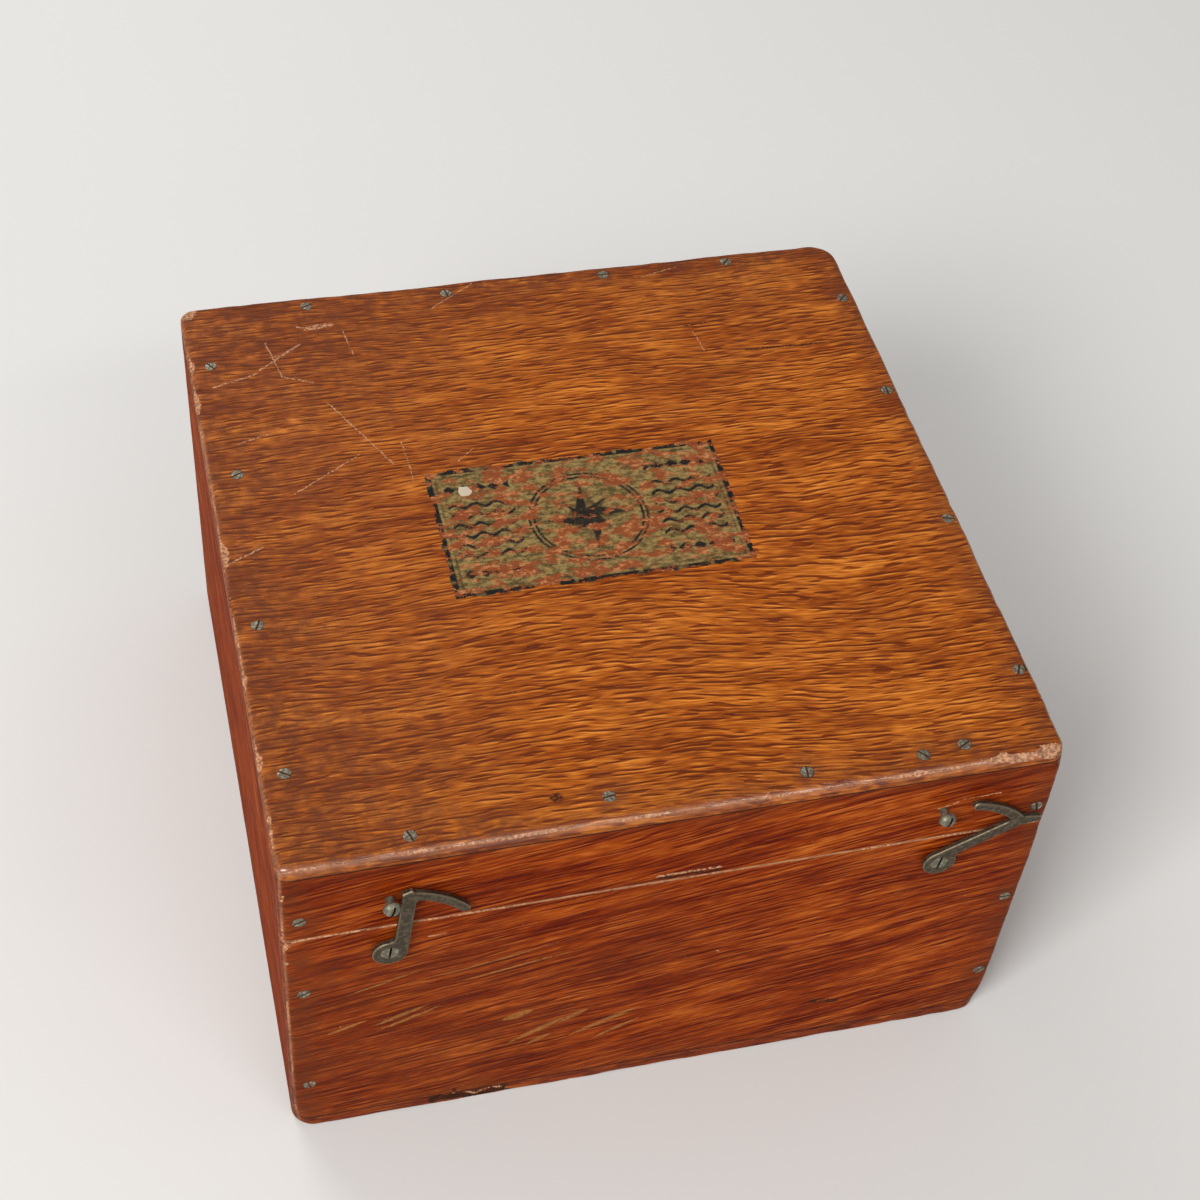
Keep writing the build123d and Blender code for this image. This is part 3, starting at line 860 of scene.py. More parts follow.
@dataclass
class Board:
    """One board of the case, its outer face worn and its vertices close together near the edges."""

    node: str
    body: str
    facing: Facing
    finish: OakFinish
    inside: OakFinish
    slot: str
    polished: OakFinish | None = None
    rebated: bool = False
    polish: float = 2.6
    arris: float = 0.4
    pitch: float = 1.2
    lip: float = 5.0
    wall: float = 11.0
    insets: tuple[float, ...] = (0.35, 0.75, 1.2, 1.8, 2.5, 3.4, 4.6, 6.2, 8.5, 12.0)
    halved: tuple[float, ...] = (17.0, 26.0, 42.0, 66.0)
    probe: float = 0.02
    rounds: int = 5

    @property
    def upright(self) -> bool:
        """Whether the board stands on edge, so that it borders the lid's seam."""
        return abs(self.facing.axes[2][2]) < 0.5

    def build(self, case: WornCase, heads: list[Head]) -> bpy.types.Object:
        """Make the board in place of its CAD node.

        Args:
            case: The worn outside that it is cut back to.
            heads: The screw heads that may lie in it.

        Returns:
            The board.
        """
        low, high = (np.array(corner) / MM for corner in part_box(self.node))
        axes = self.facing.axes
        half = np.abs(axes @ ((high - low) / 2))
        rings, looks = self.rings(half)
        sharp = (low + high) / 2 + np.concatenate(rings) @ axes
        points = self.wear(sharp, case, (low, high))
        faces, looks = self.faces([len(ring) for ring in rings], looks)
        finishes = [self.finish, self.inside]
        at_seam = np.abs(sharp[:, 2] - case.seam) < 0.2
        looks = [1 if at_seam[face].all() else look for face, look in zip(faces, looks)]
        if self.polished:
            finishes.append(self.polished)
            front, rise = sharp[:, 1] + case.half_depth, case.height - sharp[:, 2]
            near = (front < self.polish) & (rise < self.polish)
            looks = [2 if near[face].all() else look for face, look in zip(faces, looks)]
        shape = Shape.empty()
        shape.add(points, faces, looks)
        marks = self.marks(sharp, points, case, (low, high), heads)
        piece = shape.piece(self.node + "_worn", self.body, self.slot, finishes, marks, 50.0)
        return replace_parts(piece, self.node)

    def rings(self, half: Array) -> tuple[list[Array], list[int]]:
        """Loops of points round the board, from mid outer face, over the edge, to mid inner face.

        Args:
            half: Half the board's size along its face and through it.

        Returns:
            The loops, and 1 for each that is inside the case.
        """
        counts = [max(16, 16 * round(2 * size / self.pitch / 16)) for size in half[:2]]
        smallest = min(half[:2])
        thick = 2 * half[2]
        coarse = [(inset, 2 ** (n + 1)) for n, inset in enumerate(self.halved) if inset < smallest - 3]
        outer = [self.loop(half, inset, inset, 0.0, counts, steps) for inset, steps in reversed(coarse)]
        outer += [self.loop(half, i, i, 0.0, counts, 1) for i in reversed(self.insets) if i < smallest - 2]
        outer.append(self.loop(half, 0, 0, 0.0, counts, 1))
        full = self.lip if self.rebated else thick
        deep = [d for d in self.insets if d < full - 1.2] + [full - 0.8, full - 0.35, full]
        sides = [self.loop(half, 0, 0, d, counts, 1) for d in deep]
        edge = self.wall if self.rebated else 0.0
        if self.rebated:
            sides += [self.loop(half, edge, 0, d, counts, 1) for d in (self.lip, thick - 0.4, thick)]
        fine = [(inset, 1) for inset in self.insets[1::2] if inset < smallest - 2]
        inner = [self.loop(half, edge + i, i, thick, counts, steps) for i, steps in fine + coarse]
        return outer + sides + inner, [0] * (len(outer) + len(sides)) + [1] * len(inner)

    def loop(
        self, half: Array, inset_u: float, inset_v: float, depth: float, counts: list[int], steps: int
    ) -> Array:
        """Points round a rectangle set in from the board's outline.

        Args:
            half: Half the board's size along its face and through it.
            inset_u: How far in its upright sides are.
            inset_v: How far in its level sides are.
            depth: How far below the outer face it lies.
            counts: How many points a level and an upright side of the outline have.
            steps: One point is kept of so many.

        Returns:
            The points, one row each.
        """
        u, v = half[0] - inset_u, half[1] - inset_v
        ends = np.array([(-u, -v), (u, -v), (u, v), (-u, v), (-u, -v)])
        points = []
        for side in range(4):
            count = counts[side % 2] // steps
            share = np.arange(count)[:, None] / count
            points.append(ends[side] * (1 - share) + ends[side + 1] * share)
        flat = np.concatenate(points)
        return np.column_stack([flat, np.full(len(flat), half[2] - depth)])

    def faces(self, sizes: list[int], inside: list[int]) -> tuple[list[list[int]], list[int]]:
        """Faces between the loops and in the middle of the first and last, with the finish of each."""
        starts = [0]
        for size in sizes:
            starts.append(starts[-1] + size)
        faces = [list(range(sizes[0]))]
        looks = [0]
        for number in range(len(sizes) - 1):
            first, second = starts[number], starts[number + 1]
            before, after = sizes[number], sizes[number + 1]
            count = min(before, after)
            for i in range(count):
                face = [first + i * before // count, second + i * after // count]
                if after > before:
                    face.append(second + 2 * i + 1)
                face.append(second + (i + 1) * after // count % after)
                face.append(first + (i + 1) * before // count % before)
                if before > after:
                    face.append(first + 2 * i + 1)
                faces.append(face)
            looks += [inside[number + 1]] * count
        faces.append(list(range(starts[-2], starts[-1]))[::-1])
        looks.append(1)
        return faces, looks

    def wear(self, sharp: Array, case: WornCase, own: tuple[Array, Array]) -> Array:
        """Move what stands outside the worn case, or out of the board's own softened edges, in to them."""
        found = case.fields(sharp)
        arris = self.arris + 0.12 * ripple(sharp, 4, 11) + 0.08 * ripple(sharp, 1.7, 12)
        arris += 0.45 * ease(np.abs(sharp[:, 2] - case.seam), 1.5, 0.3) * (1 + 0.8 * ripple(sharp, 6, 13))
        arris = np.maximum(arris, 0.15)
        centre, half = (own[0] + own[1]) / 2, (own[1] - own[0]) / 2

        def outside(places: Array) -> Array:
            """Distance outside both shapes."""
            gap = np.abs(places - centre) - half + arris[:, None]
            box = np.linalg.norm(np.maximum(gap, 0), axis=1) + np.minimum(gap.max(axis=1), 0) - arris
            return np.maximum(case.distance(places, found), box)

        points = sharp.copy()
        small = self.probe
        for _ in range(self.rounds):
            excess = np.maximum(outside(points), 0)
            rises = [outside(points + small * axis) - outside(points - small * axis) for axis in np.eye(3)]
            slope = np.stack(rises, axis=1)
            slope /= np.maximum(np.linalg.norm(slope, axis=1, keepdims=True), 1e-9)
            points -= slope * excess[:, None]
        return points

    def marks(
        self, sharp: Array, points: Array, case: WornCase, own: tuple[Array, Array], heads: list[Head]
    ) -> dict[str, Array]:
        """How aged, darkened, bare and rubbed the wood is at each vertex; rubbed includes a painted
        highlight on the top's front arris.

        Args:
            sharp: The vertices before they were worn.
            points: The vertices.
            case: The worn outside.
            own: The least and greatest corner of the board.
            heads: The screw heads that may lie in it.

        Returns:
            Numbers from 0 to 1 for each vertex, by name.
        """
        site = Site.of(sharp, case, own)
        _, broken, hole_dark = case.broken(points, case.fields(sharp))
        found = {
            "age": self.age(site, heads),
            # The dirt number also carries the darker inside of the broken hole at the foot of the front.
            "dirt": np.maximum(self.dirt(site), 0.9 * hole_dark),
            "bare": np.maximum(self.bare(site), broken),
            "rubbed": self.rubbed(site),
        }
        return {name: np.clip(values, 0, 1) for name, values in found.items()}

    def age(self, site: Site, heads: list[Head]) -> Array:
        """How dark the varnish is: along the edges and joints, round the screws, and in broad stains."""
        x, y, z = site.place.T
        broad = ripple(site.place, 24, 24)
        age = 0.75 * ease(site.edge, 15, 1) + 0.25 * broad
        if self.facing is Facing.TOP:
            age += 0.28 * ease(x, -82, -118) + 0.42 * ease(y, 40, 110)
            age += 0.62 * ease(x, -18, -88)
        else:
            age = np.where(site.outer > 8, 0.8 * ease(site.joint, 16, 1) + 0.2 * broad, age)
        if self.facing is Facing.FRONT:
            age += 0.5 * ease(x, 0, -90) * ease(z, 112, 90)
            age += 0.3 * ease(np.hypot(x + 20, 1.6 * (z - 62)), 60, 12)
        for head in heads:
            gap = np.linalg.norm(site.place - np.array(head.centre), axis=1)
            age = np.maximum(age, 0.85 * ease(gap, 11, 3))
        return age

    def dirt(self, site: Site) -> Array:
        """How much dirt lies in the joints and along the edges."""
        joint = ease(site.joint, 0.55, 0.1) * (site.edge > 0.4) * (site.seam > 0.6)
        return 0.9 * joint + 0.35 * ease(site.edge, 5, 0.5) * (0.5 + ripple(site.place, 6, 25))

    def bare(self, site: Site) -> Array:
        """How far the varnish is gone from the edges, and from the seam where the lid shuts on it."""
        patchy = 0.34 + 0.6 * ripple(site.place, (11, 11, 9), 21) + 0.35 * ripple(site.place, 2.4, 22)
        bare = ease(site.edge, 1.7, 0.3) * np.clip(patchy, 0, 0.95)
        if self.upright:
            shut = np.clip(0.55 + 0.5 * ripple(site.place, 14, 23), 0, 0.75) * ease(site.outer, 1.6, 0.6)
            bare = np.maximum(bare, ease(site.seam, 0.8, 0.2) * shut)
        return bare

    def rubbed(self, site: Site) -> Array:
        """How far handling has thinned the varnish on the arrises, with a painted highlight along the
        top's front arris.
        """
        rubbed = 0.75 * ease(site.edge, 1.7, 0.4) * np.clip(0.6 + 0.7 * ripple(site.place, 19, 26), 0, 1)
        if self.upright:
            pale = np.clip(0.75 + 0.45 * ripple(site.place, 26, 27), 0, 1) * ease(site.outer, 1.6, 0.6)
            rubbed = np.maximum(rubbed, ease(site.seam, 0.8, 0.3) * pale)
        elif self.facing is Facing.TOP:
            # Painted highlight: a pale line along the top's front arris.
            rubbed = np.maximum(rubbed, 0.8 * ease(site.edge, 1.9, 0.6) * (site.front < 3))
        return rubbed


TOP_SCARS = (
    Scar((-78.5, 68.3), (-61.3, 35.0), 0.42),
    Scar((-99.5, 88.9), (-83.7, 100.3), 0.6),
    Scar((-95.8, 102.4), (-92.3, 84.1), 0.4),
    Scar((-92.3, 84.1), (-82.0, 79.6), 0.4),
    Scar((-117.1, 82.4), (-100.9, 87.2), 0.5),
    Scar((-67.7, 104.4), (-65.8, 91.7), 0.32),
    Scar((-97.0, 25.6), (-72.0, 41.1), 0.34),
    Scar((-39.3, 32.4), (-33.1, 37.6), 0.3),
    Scar((-56.8, 45.4), (-55.8, 25.2), 0.3),
    Scar((58.2, 84.5), (59.6, 73.8), 0.3),
    Scar((-80.3, 108.2), (-71.6, 108.9), 1.5),
    Scar((-83.4, 109.6), (-80.6, 108.2), 0.5),
    Scar((-122.8, -2.3), (-110.2, 3.5), 0.5),
    Scar((-33.7, 112.0), (-16.5, 123.4), 0.28),
    Scar((46.9, 116.8), (61.7, 121.0), 0.25),
    Scar((-95.2, 95.1), (-89.9, 95.1), 0.4),
    Scar((-111.6, 53.1), (-100.9, 56.2), 0.4),
    Scar((74.4, 71.7), (104.7, 70.7), 0.7, Mark.DARK),
    Scar((-37.9, -113.6), (-37.2, -114.0), 2.4, Mark.DARK),
    Scar((55.5, 87.6), (67.5, 88.6), 0.5, Mark.DARK),
)
FRONT_SCARS = (
    Scar((-53.9, 48.4), (-42.7, 51.8), 2.6, Mark.RAY),
    Scar((-51.3, 32.9), (-30.6, 44.4), 1.8, Mark.RAY),
    Scar((-45.3, 29.9), (-35.8, 35.1), 1.4, Mark.RAY),
    Scar((-30.3, 31.2), (-5.2, 42.7), 1.8, Mark.RAY),
    Scar((-34.4, 40.6), (-23.8, 46.7), 1.8, Mark.RAY),
    Scar((-22.0, 26.5), (-5.2, 35.1), 1.2, Mark.RAY),
    Scar((-97.0, 58.2), (-77.5, 66.5), 1.4, Mark.RAY),
    Scar((-95.2, 55.1), (-73.7, 64.4), 1.1, Mark.RAY),
    Scar((-111.6, 57.8), (-97.8, 63.0), 1.1, Mark.RAY),
    Scar((-106.4, 78.5), (-80.6, 87.5), 0.7, Mark.RAY),
    Scar((-75.4, 81.6), (-35.8, 90.2), 0.7, Mark.RAY),
    Scar((-70.3, 76.4), (-30.6, 83.7), 0.7, Mark.RAY),
    Scar((-106.9, 61.6), (-106.8, 61.6), 0.5),
    Scar((18.4, 69.0), (18.6, 68.4), 0.7),
    Scar((-6.5, 118.1), (14.1, 118.1), 0.8),
    Scar((-5.5, 117.1), (13.4, 116.9), 1.1, Mark.DARK),
    Scar((84.2, 130.7), (93.4, 133.8), 0.5),
    Scar((93.4, 133.8), (104.6, 134.3), 0.4),
    Scar((-120.2, 114.3), (-114.4, 115.0), 0.7),
    Scar((-78.9, 105.6), (-72.8, 105.9), 0.5),
    Scar((57.2, 25.5), (65.8, 23.4), 1.6, Mark.DARK),
    # A dark stroke along the broken hole at the foot of the front.
    Scar((-72.8, 4.1), (-56.5, 4.8), 2.0, Mark.DARK),
)
# The top's tones are lighter than the other faces': partly the oak's own colour, partly painted light, a
# lit copy of the wood.
TOP_TONES = (
    (0.125, 0.020, 0.002),
    (0.195, 0.035, 0.003),
    (0.265, 0.054, 0.004),
    (0.345, 0.080, 0.007),
    (0.440, 0.116, 0.011),
    (0.56, 0.165, 0.019),
    (0.72, 0.24, 0.036),
)
# Darker tones for the front, back, sides and underside: partly the oak's own colour, partly painted shade.
FRONT_TONES = (
    (0.090, 0.006, 0.001),
    (0.135, 0.012, 0.001),
    (0.180, 0.020, 0.0015),
    (0.238, 0.032, 0.0025),
    (0.305, 0.050, 0.004),
    (0.40, 0.082, 0.009),
    (0.56, 0.145, 0.022),
)
BARE_TONES = (
    (0.20, 0.085, 0.026),
    (0.27, 0.125, 0.042),
    (0.33, 0.165, 0.060),
    (0.39, 0.205, 0.080),
    (0.46, 0.255, 0.105),
    (0.53, 0.31, 0.14),
    (0.62, 0.39, 0.19),
)


@dataclass
class CaseBoards:
    """The ten boards of the base and lid."""

    case: WornCase
    top: OakFinish = OakFinish(
        "oak_top", Grain.TOP, TOP_TONES, sweep=11.0, contrast=1.4, clouds=0.3, pore_depth=0.27, crest_highlight=0.16,
        gloss=0.1, scars=TOP_SCARS,
    )
    front: OakFinish = OakFinish(
        "oak_front", Grain.FRONT, FRONT_TONES, slope=0.15, line_length=70.0, line_gap=2.4, line_depth=0.2,
        dash_length=18.0, dash_gap=1.2, contrast=1.15, wobble=1.0, level=0.545, flecks=0.5, gloss=0.02,
        scars=FRONT_SCARS,
    )
    back: OakFinish = OakFinish(
        "oak_back", Grain.FRONT, FRONT_TONES, shift=(410.0, 0.0, 230.0), slope=-0.05, flecks=0.4,
        gloss=0.04,
    )
    side: OakFinish = OakFinish(
        "oak_side", Grain.SIDE, FRONT_TONES, shift=(0.0, 700.0, 90.0), slope=0.06, gloss=0.004,
        roughness=0.5,
    )
    under: OakFinish = OakFinish(
        "oak_under", Grain.TOP, FRONT_TONES, shift=(900.0, 300.0, 0.0), roughness=0.6, gloss=0.1
    )

    def inside(self, finish: OakFinish) -> OakFinish:
        """The bare oiled face behind a varnished one."""
        return OakFinish(
            finish.name + "_inside", finish.grain, BARE_TONES, shift=(37.0, 59.0, 83.0),
            slope=finish.slope, contrast=0.7, gloss=0.2, roughness=0.58, aged=(0.17, 0.075, 0.03),
        )

    def polished(self) -> OakFinish:
        """The top's varnish where hands have polished its front edge."""
        return replace(self.top, name="oak_polished", gloss=0.6, roughness=0.14, relief=0.1)

    def build(self, heads: list[Head]) -> None:
        """Make every board.

        Args:
            heads: The flush screw heads, round which the varnish is darker.
        """
        rows = [
            ("lid_top_board", "lid", Facing.TOP, self.top, "oak_top"),
            ("bottom_board", "base", Facing.UNDER, self.under, "oak_case"),
        ]
        for part, rail in (("base", "board"), ("lid", "rail")):
            for side, facing, finish in (
                ("front", Facing.FRONT, self.front),
                ("back", Facing.BACK, self.back),
                ("left", Facing.LEFT, self.side),
                ("right", Facing.RIGHT, self.side),
            ):
                rows.append((f"{part}_{side}_{rail}", part, facing, finish, "oak_case"))
        for node, body, facing, finish, slot in rows:
            rebated = facing in (Facing.FRONT, Facing.BACK)
            rubbed = self.polished() if facing is Facing.TOP else None
            board = Board(node, body, facing, finish, self.inside(finish), slot, rubbed, rebated)
            board.build(self.case, heads)


@dataclass
class FlushScrews:
    """Brass wood screws countersunk level with the boards, with dirt and painted shade in their slots and
    round their heads.
    """

    case: WornCase
    sunk: float = 0.03
    brass: MetalFinish = MetalFinish(
        "screw_brass", (0.15, 0.12, 0.08), (0.55, 0.52, 0.42), (0.05, 0.022, 0.01), grain=1.0, uneven=0.9
    )
    # Near-black slots and rim round each head: dirt, and painted shade where slot and countersink gap are
    # too shallow to shade.
    dirt: MattFinish = MattFinish("screw_dirt_and_shade", (0.03, 0.014, 0.008), (0.075, 0.03, 0.014), 0.8)
    head: SlottedHead = SlottedHead(
        ((0.5, 0.0), (1.2, -0.01), (1.75, -0.03), (2.0, -0.06), (2.07, -0.1), (2.2, -0.12), (2.75, -0.34)),
        slot_floor=4, half_slot=0.3, dark_from=4,
    )
    first_turn: float = 25.0
    next_turn: float = 67.0
    from_sides: Place = (6.2, 5.0)
    under_inset: float = 6.0
    under_gap_x: float = 72.0
    under_gap_y: float = 88.0

    def places(self) -> dict[str, tuple[str, Facing, list[Place]]]:
        """Body, facing and places along the face of the heads in each board."""
        width, depth = self.case.half_width, self.case.half_depth
        top = [(45.6, 5.5), (97.1, 6.4), (157.1, 5.2), (205.0, 5.0)]
        top += [(7.8, 32.2), (10.2, 87.3), (7.9, 155.5), (7.9, 215.6)]
        top += [(243.0, 32.2), (243.5, 83.5), (243.9, 148.6), (243.9, 217.0)]
        top += [(40.8, 245.1), (102.1, 242.0), (164.1, 244.1), (202.0, 244.4), (216.0, 242.9)]
        inset, gap_x, gap_y = self.under_inset, self.under_gap_x, self.under_gap_y
        under = [(side * (width - inset), step * gap_y) for side in (-1, 1) for step in (-1, 0, 1)]
        under += [(step * gap_x, side * (depth - inset)) for side in (-1, 1) for step in (-1, 0, 1)]
        left, right = self.from_sides[0] - width, width - self.from_sides[1]
        front = [(left, 84.5), (left, 28.6), (right, 72.8), (right, 27.2)]
        back = [(left, 80.5), (left, 27.6), (right, 82.8), (right, 29.2)]
        return {
            "lid_top": ("lid", Facing.TOP, [(x - width, depth - y) for x, y in top]),
            "lid_front": ("lid", Facing.FRONT, [(left, 124.5), (right, 123.6)]),
            "base_front": ("base", Facing.FRONT, front),
            "lid_back": ("lid", Facing.BACK, [(left, 124.0), (right, 124.8)]),
            "base_back": ("base", Facing.BACK, back),
            "underside": ("base", Facing.UNDER, under),
        }

    def heads(self, facing: Facing, places: list[Place]) -> list[Head]:
        """The heads at places along one face, each turned its own way."""
        u, v, out = facing.axes
        level = {Facing.TOP: self.case.height, Facing.UNDER: 0.0}.get(facing, self.case.half_depth)
        heads = []
        for number, (along, up) in enumerate(places):
            centre = along * u + up * v + out * (level - self.sunk)
            turn = self.first_turn + self.next_turn * number + 11.0 * (number % 3)
            heads.append(Head(tuple(centre), facing, turn))
        return heads

    def build(self) -> list[Head]:
        """Make one piece of screws for each board that has them.

        Returns:
            All the heads.
        """
        found = []
        for group, (body, facing, places) in self.places().items():
            heads = self.heads(facing, places)
            shape = Shape.empty()
            for head in heads:
                self.head.placed(head, shape)
            shape.piece("screws_" + group, body, "brass_screw", [self.brass, self.dirt])
            found += heads
        return found


@dataclass
class Fitting:
    """A brass fitting grown from its CAD solid, its arrises rubbed round by handling."""

    node: str
    body: str
    slot: str
    finish: MetalFinish
    voxel: float = 0.24
    rounds: int = 3
    reach: int = 6

    def build(self) -> bpy.types.Object:
        """Make the fitting in place of its CAD node."""
        mesh = softened(self.node, self.voxel)
        points, edges = mesh_arrays(mesh)
        worn = relax(points, edges, self.rounds)
        broad = relax(points, edges, self.rounds + self.reach)
        normals = np.empty(len(points) * 3)
        mesh.vertices.foreach_get("normal", normals)
        stand = np.sum((worn - broad) * normals.reshape(-1, 3), axis=1) / self.voxel
        worn += 0.03 * ripple(worn, 1.9, 31)[:, None] * normals.reshape(-1, 3) * (stand[:, None] < 0.1)
        low, high = (np.array(corner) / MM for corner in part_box(self.node))
        mesh.vertices.foreach_set("co", (np.clip(worn, low, high) * MM).ravel())
        marks = {"rubbed": ease(stand, 0.06, 0.3), "hollow": ease(stand, -0.06, -0.28)}
        for name, values in marks.items():
            store(mesh, name, values)
        mesh.materials.clear()
        mesh.materials.append(self.finish.material())
        mesh.polygons.foreach_set("use_smooth", [True] * len(mesh.polygons))
        piece = bpy.data.objects.new(self.node + "_worn", mesh)
        bpy.context.scene.collection.objects.link(piece)
        LOG.info("%s: %d faces", piece.name, len(mesh.polygons))
        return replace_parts(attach(piece, self.body), self.node)


def softened(node: str, voxel: float) -> bpy.types.Mesh:
    """A node's CAD solid as an even mesh.

    Args:
        node: The node's name.
        voxel: Size of the new mesh's faces in millimetres.

    Returns:
        A new mesh, in the same place.
    """
    source = bpy.data.objects.new("source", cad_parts[node].data.copy())
    bpy.context.scene.collection.objects.link(source)
    remesh = source.modifiers.new("even", "REMESH")
    remesh.mode = "VOXEL"
    remesh.voxel_size = voxel * MM
    mesh = bpy.data.meshes.new_from_object(source.evaluated_get(bpy.context.evaluated_depsgraph_get()))
    old = source.data
    bpy.data.objects.remove(source)
    bpy.data.meshes.remove(old)
    mesh.name = node + "_worn"
    return mesh


def mesh_arrays(mesh: bpy.types.Mesh) -> tuple[Array, Array]:
    """A mesh's points in millimetres and its edges."""
    points = np.empty(len(mesh.vertices) * 3)
    mesh.vertices.foreach_get("co", points)
    edges = np.empty(len(mesh.edges) * 2, np.int64)
    mesh.edges.foreach_get("vertices", edges)
    return points.reshape(-1, 3) / MM, edges.reshape(-1, 2)


def relax(points: Array, edges: Array, rounds: int) -> Array:
    """Points drawn towards the middle of their neighbours a number of times."""
    ends = np.concatenate([edges[:, 0], edges[:, 1]])
    others = np.concatenate([edges[:, 1], edges[:, 0]])
    count = np.maximum(np.bincount(ends, minlength=len(points)), 1)[:, None]
    for _ in range(rounds):
        sums = [np.bincount(ends, points[others, axis], len(points)) for axis in range(3)]
        points = points * 0.4 + np.stack(sums, axis=1) / count * 0.6
    return points


@dataclass
class BrassWork:
    """The hooks with their screws and studs, and the two butt hinges."""

    case: WornCase
    hook: MetalFinish = MetalFinish(
        "hook_brass", (0.062, 0.045, 0.026), (0.40, 0.33, 0.22), painted=True, uneven=0.3
    )
    stud: MetalFinish = MetalFinish("stud_brass", (0.16, 0.145, 0.10), (0.46, 0.44, 0.34), uneven=0.9)
    hinge: MetalFinish = MetalFinish("hinge_brass", (0.20, 0.14, 0.062), (0.48, 0.36, 0.17), painted=True)
    dirt: MattFinish = MattFinish("slot_dirt", (0.012, 0.008, 0.005), (0.03, 0.018, 0.01), 0.5)
    pivot_screw: SlottedHead = SlottedHead(
        ((0.7, 2.45), (1.9, 2.44), (2.75, 2.4), (2.98, 2.28), (2.3, 1.6), (1.6, 0.9), (1.6, -2.0)),
        slot_floor=4,
    )
    stud_screw: SlottedHead = SlottedHead(
        (
            (0.6, 5.58), (1.2, 5.46), (1.8, 5.18), (2.3, 4.75), (2.66, 4.2), (2.86, 3.6), (2.84, 3.3),
            (2.6, 3.22), (1.5, 3.2), (1.5, -2.0),
        ),
        slot_floor=3,
    )
    leaf_screw: SlottedHead = SlottedHead(
        ((0.6, 0.09), (1.5, 0.085), (1.95, 0.06), (2.05, 0.03), (2.15, -0.02), (2.2, -0.6)),
        slot_floor=3, half_slot=0.3, steps=10,
    )
    pivot_turn: float = 82.0
    stud_turn: float = 70.0
    leaf_turn: float = 40.0
    next_turn: float = 55.0
    leaf_sunk: float = 0.15
    leaf_shares: Point = (0.16, 0.5, 0.84)
    end_row: float = 3.4
    middle_row: float = 4.9

    def centre(self, node: str) -> Point:
        """The middle of a node on the front face."""
        low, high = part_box(node)
        return ((low[0] + high[0]) / 2 / MM, -self.case.half_depth, (low[2] + high[2]) / 2 / MM)

    def screw(self, node: str, body: str, kind: SlottedHead, turn: float) -> None:
        """Make a detailed screw in place of its CAD node."""
        shape = Shape.empty()
        kind.placed(Head(self.centre(node), Facing.FRONT, turn), shape)
        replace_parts(shape.piece(node + "_worn", body, "brass_screw", [self.stud, self.dirt]), node)

    def leaf_screws(self, side: str, owner: str) -> None:
        """Make the three screws that hold a hinge leaf."""
        low, high = (np.array(corner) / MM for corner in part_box(f"hinge_{owner}_leaf_{side}"))
        facing, level = Facing.TOP, self.case.seam - self.leaf_sunk
        if owner == "lid":
            facing, level = Facing.UNDER, self.case.seam + self.leaf_sunk
        shape = Shape.empty()
        for number, share in enumerate(self.leaf_shares):
            x = low[0] + share * (high[0] - low[0])
            y = low[1] + (self.middle_row if number == 1 else self.end_row)
            head = Head((x, y, level), facing, self.leaf_turn + self.next_turn * number)
            self.leaf_screw.placed(head, shape)
        shape.piece(f"hinge_{owner}_screws_{side}", owner, "brass_screw", [self.stud, self.dirt])

    def build(self) -> None:
        """Make every fitting."""
        for side in ("left", "right"):
            Fitting(f"hook_{side}", f"hook_{side}", "brass_hook", self.hook, 0.2, 2, 5).build()
            self.screw(f"hook_pivot_screw_{side}", "base", self.pivot_screw, self.pivot_turn)
            self.screw(f"stud_{side}", "lid", self.stud_screw, self.stud_turn)
            for owner in ("base", "lid"):
                Fitting(f"hinge_{owner}_leaf_{side}", owner, "brass_hinge", self.hinge, 0.28, 1).build()
                self.leaf_screws(side, owner)
            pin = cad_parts[f"hinge_pin_{side}"]
            pin.data.materials.clear()
            pin.data.materials.append(self.stud.material())


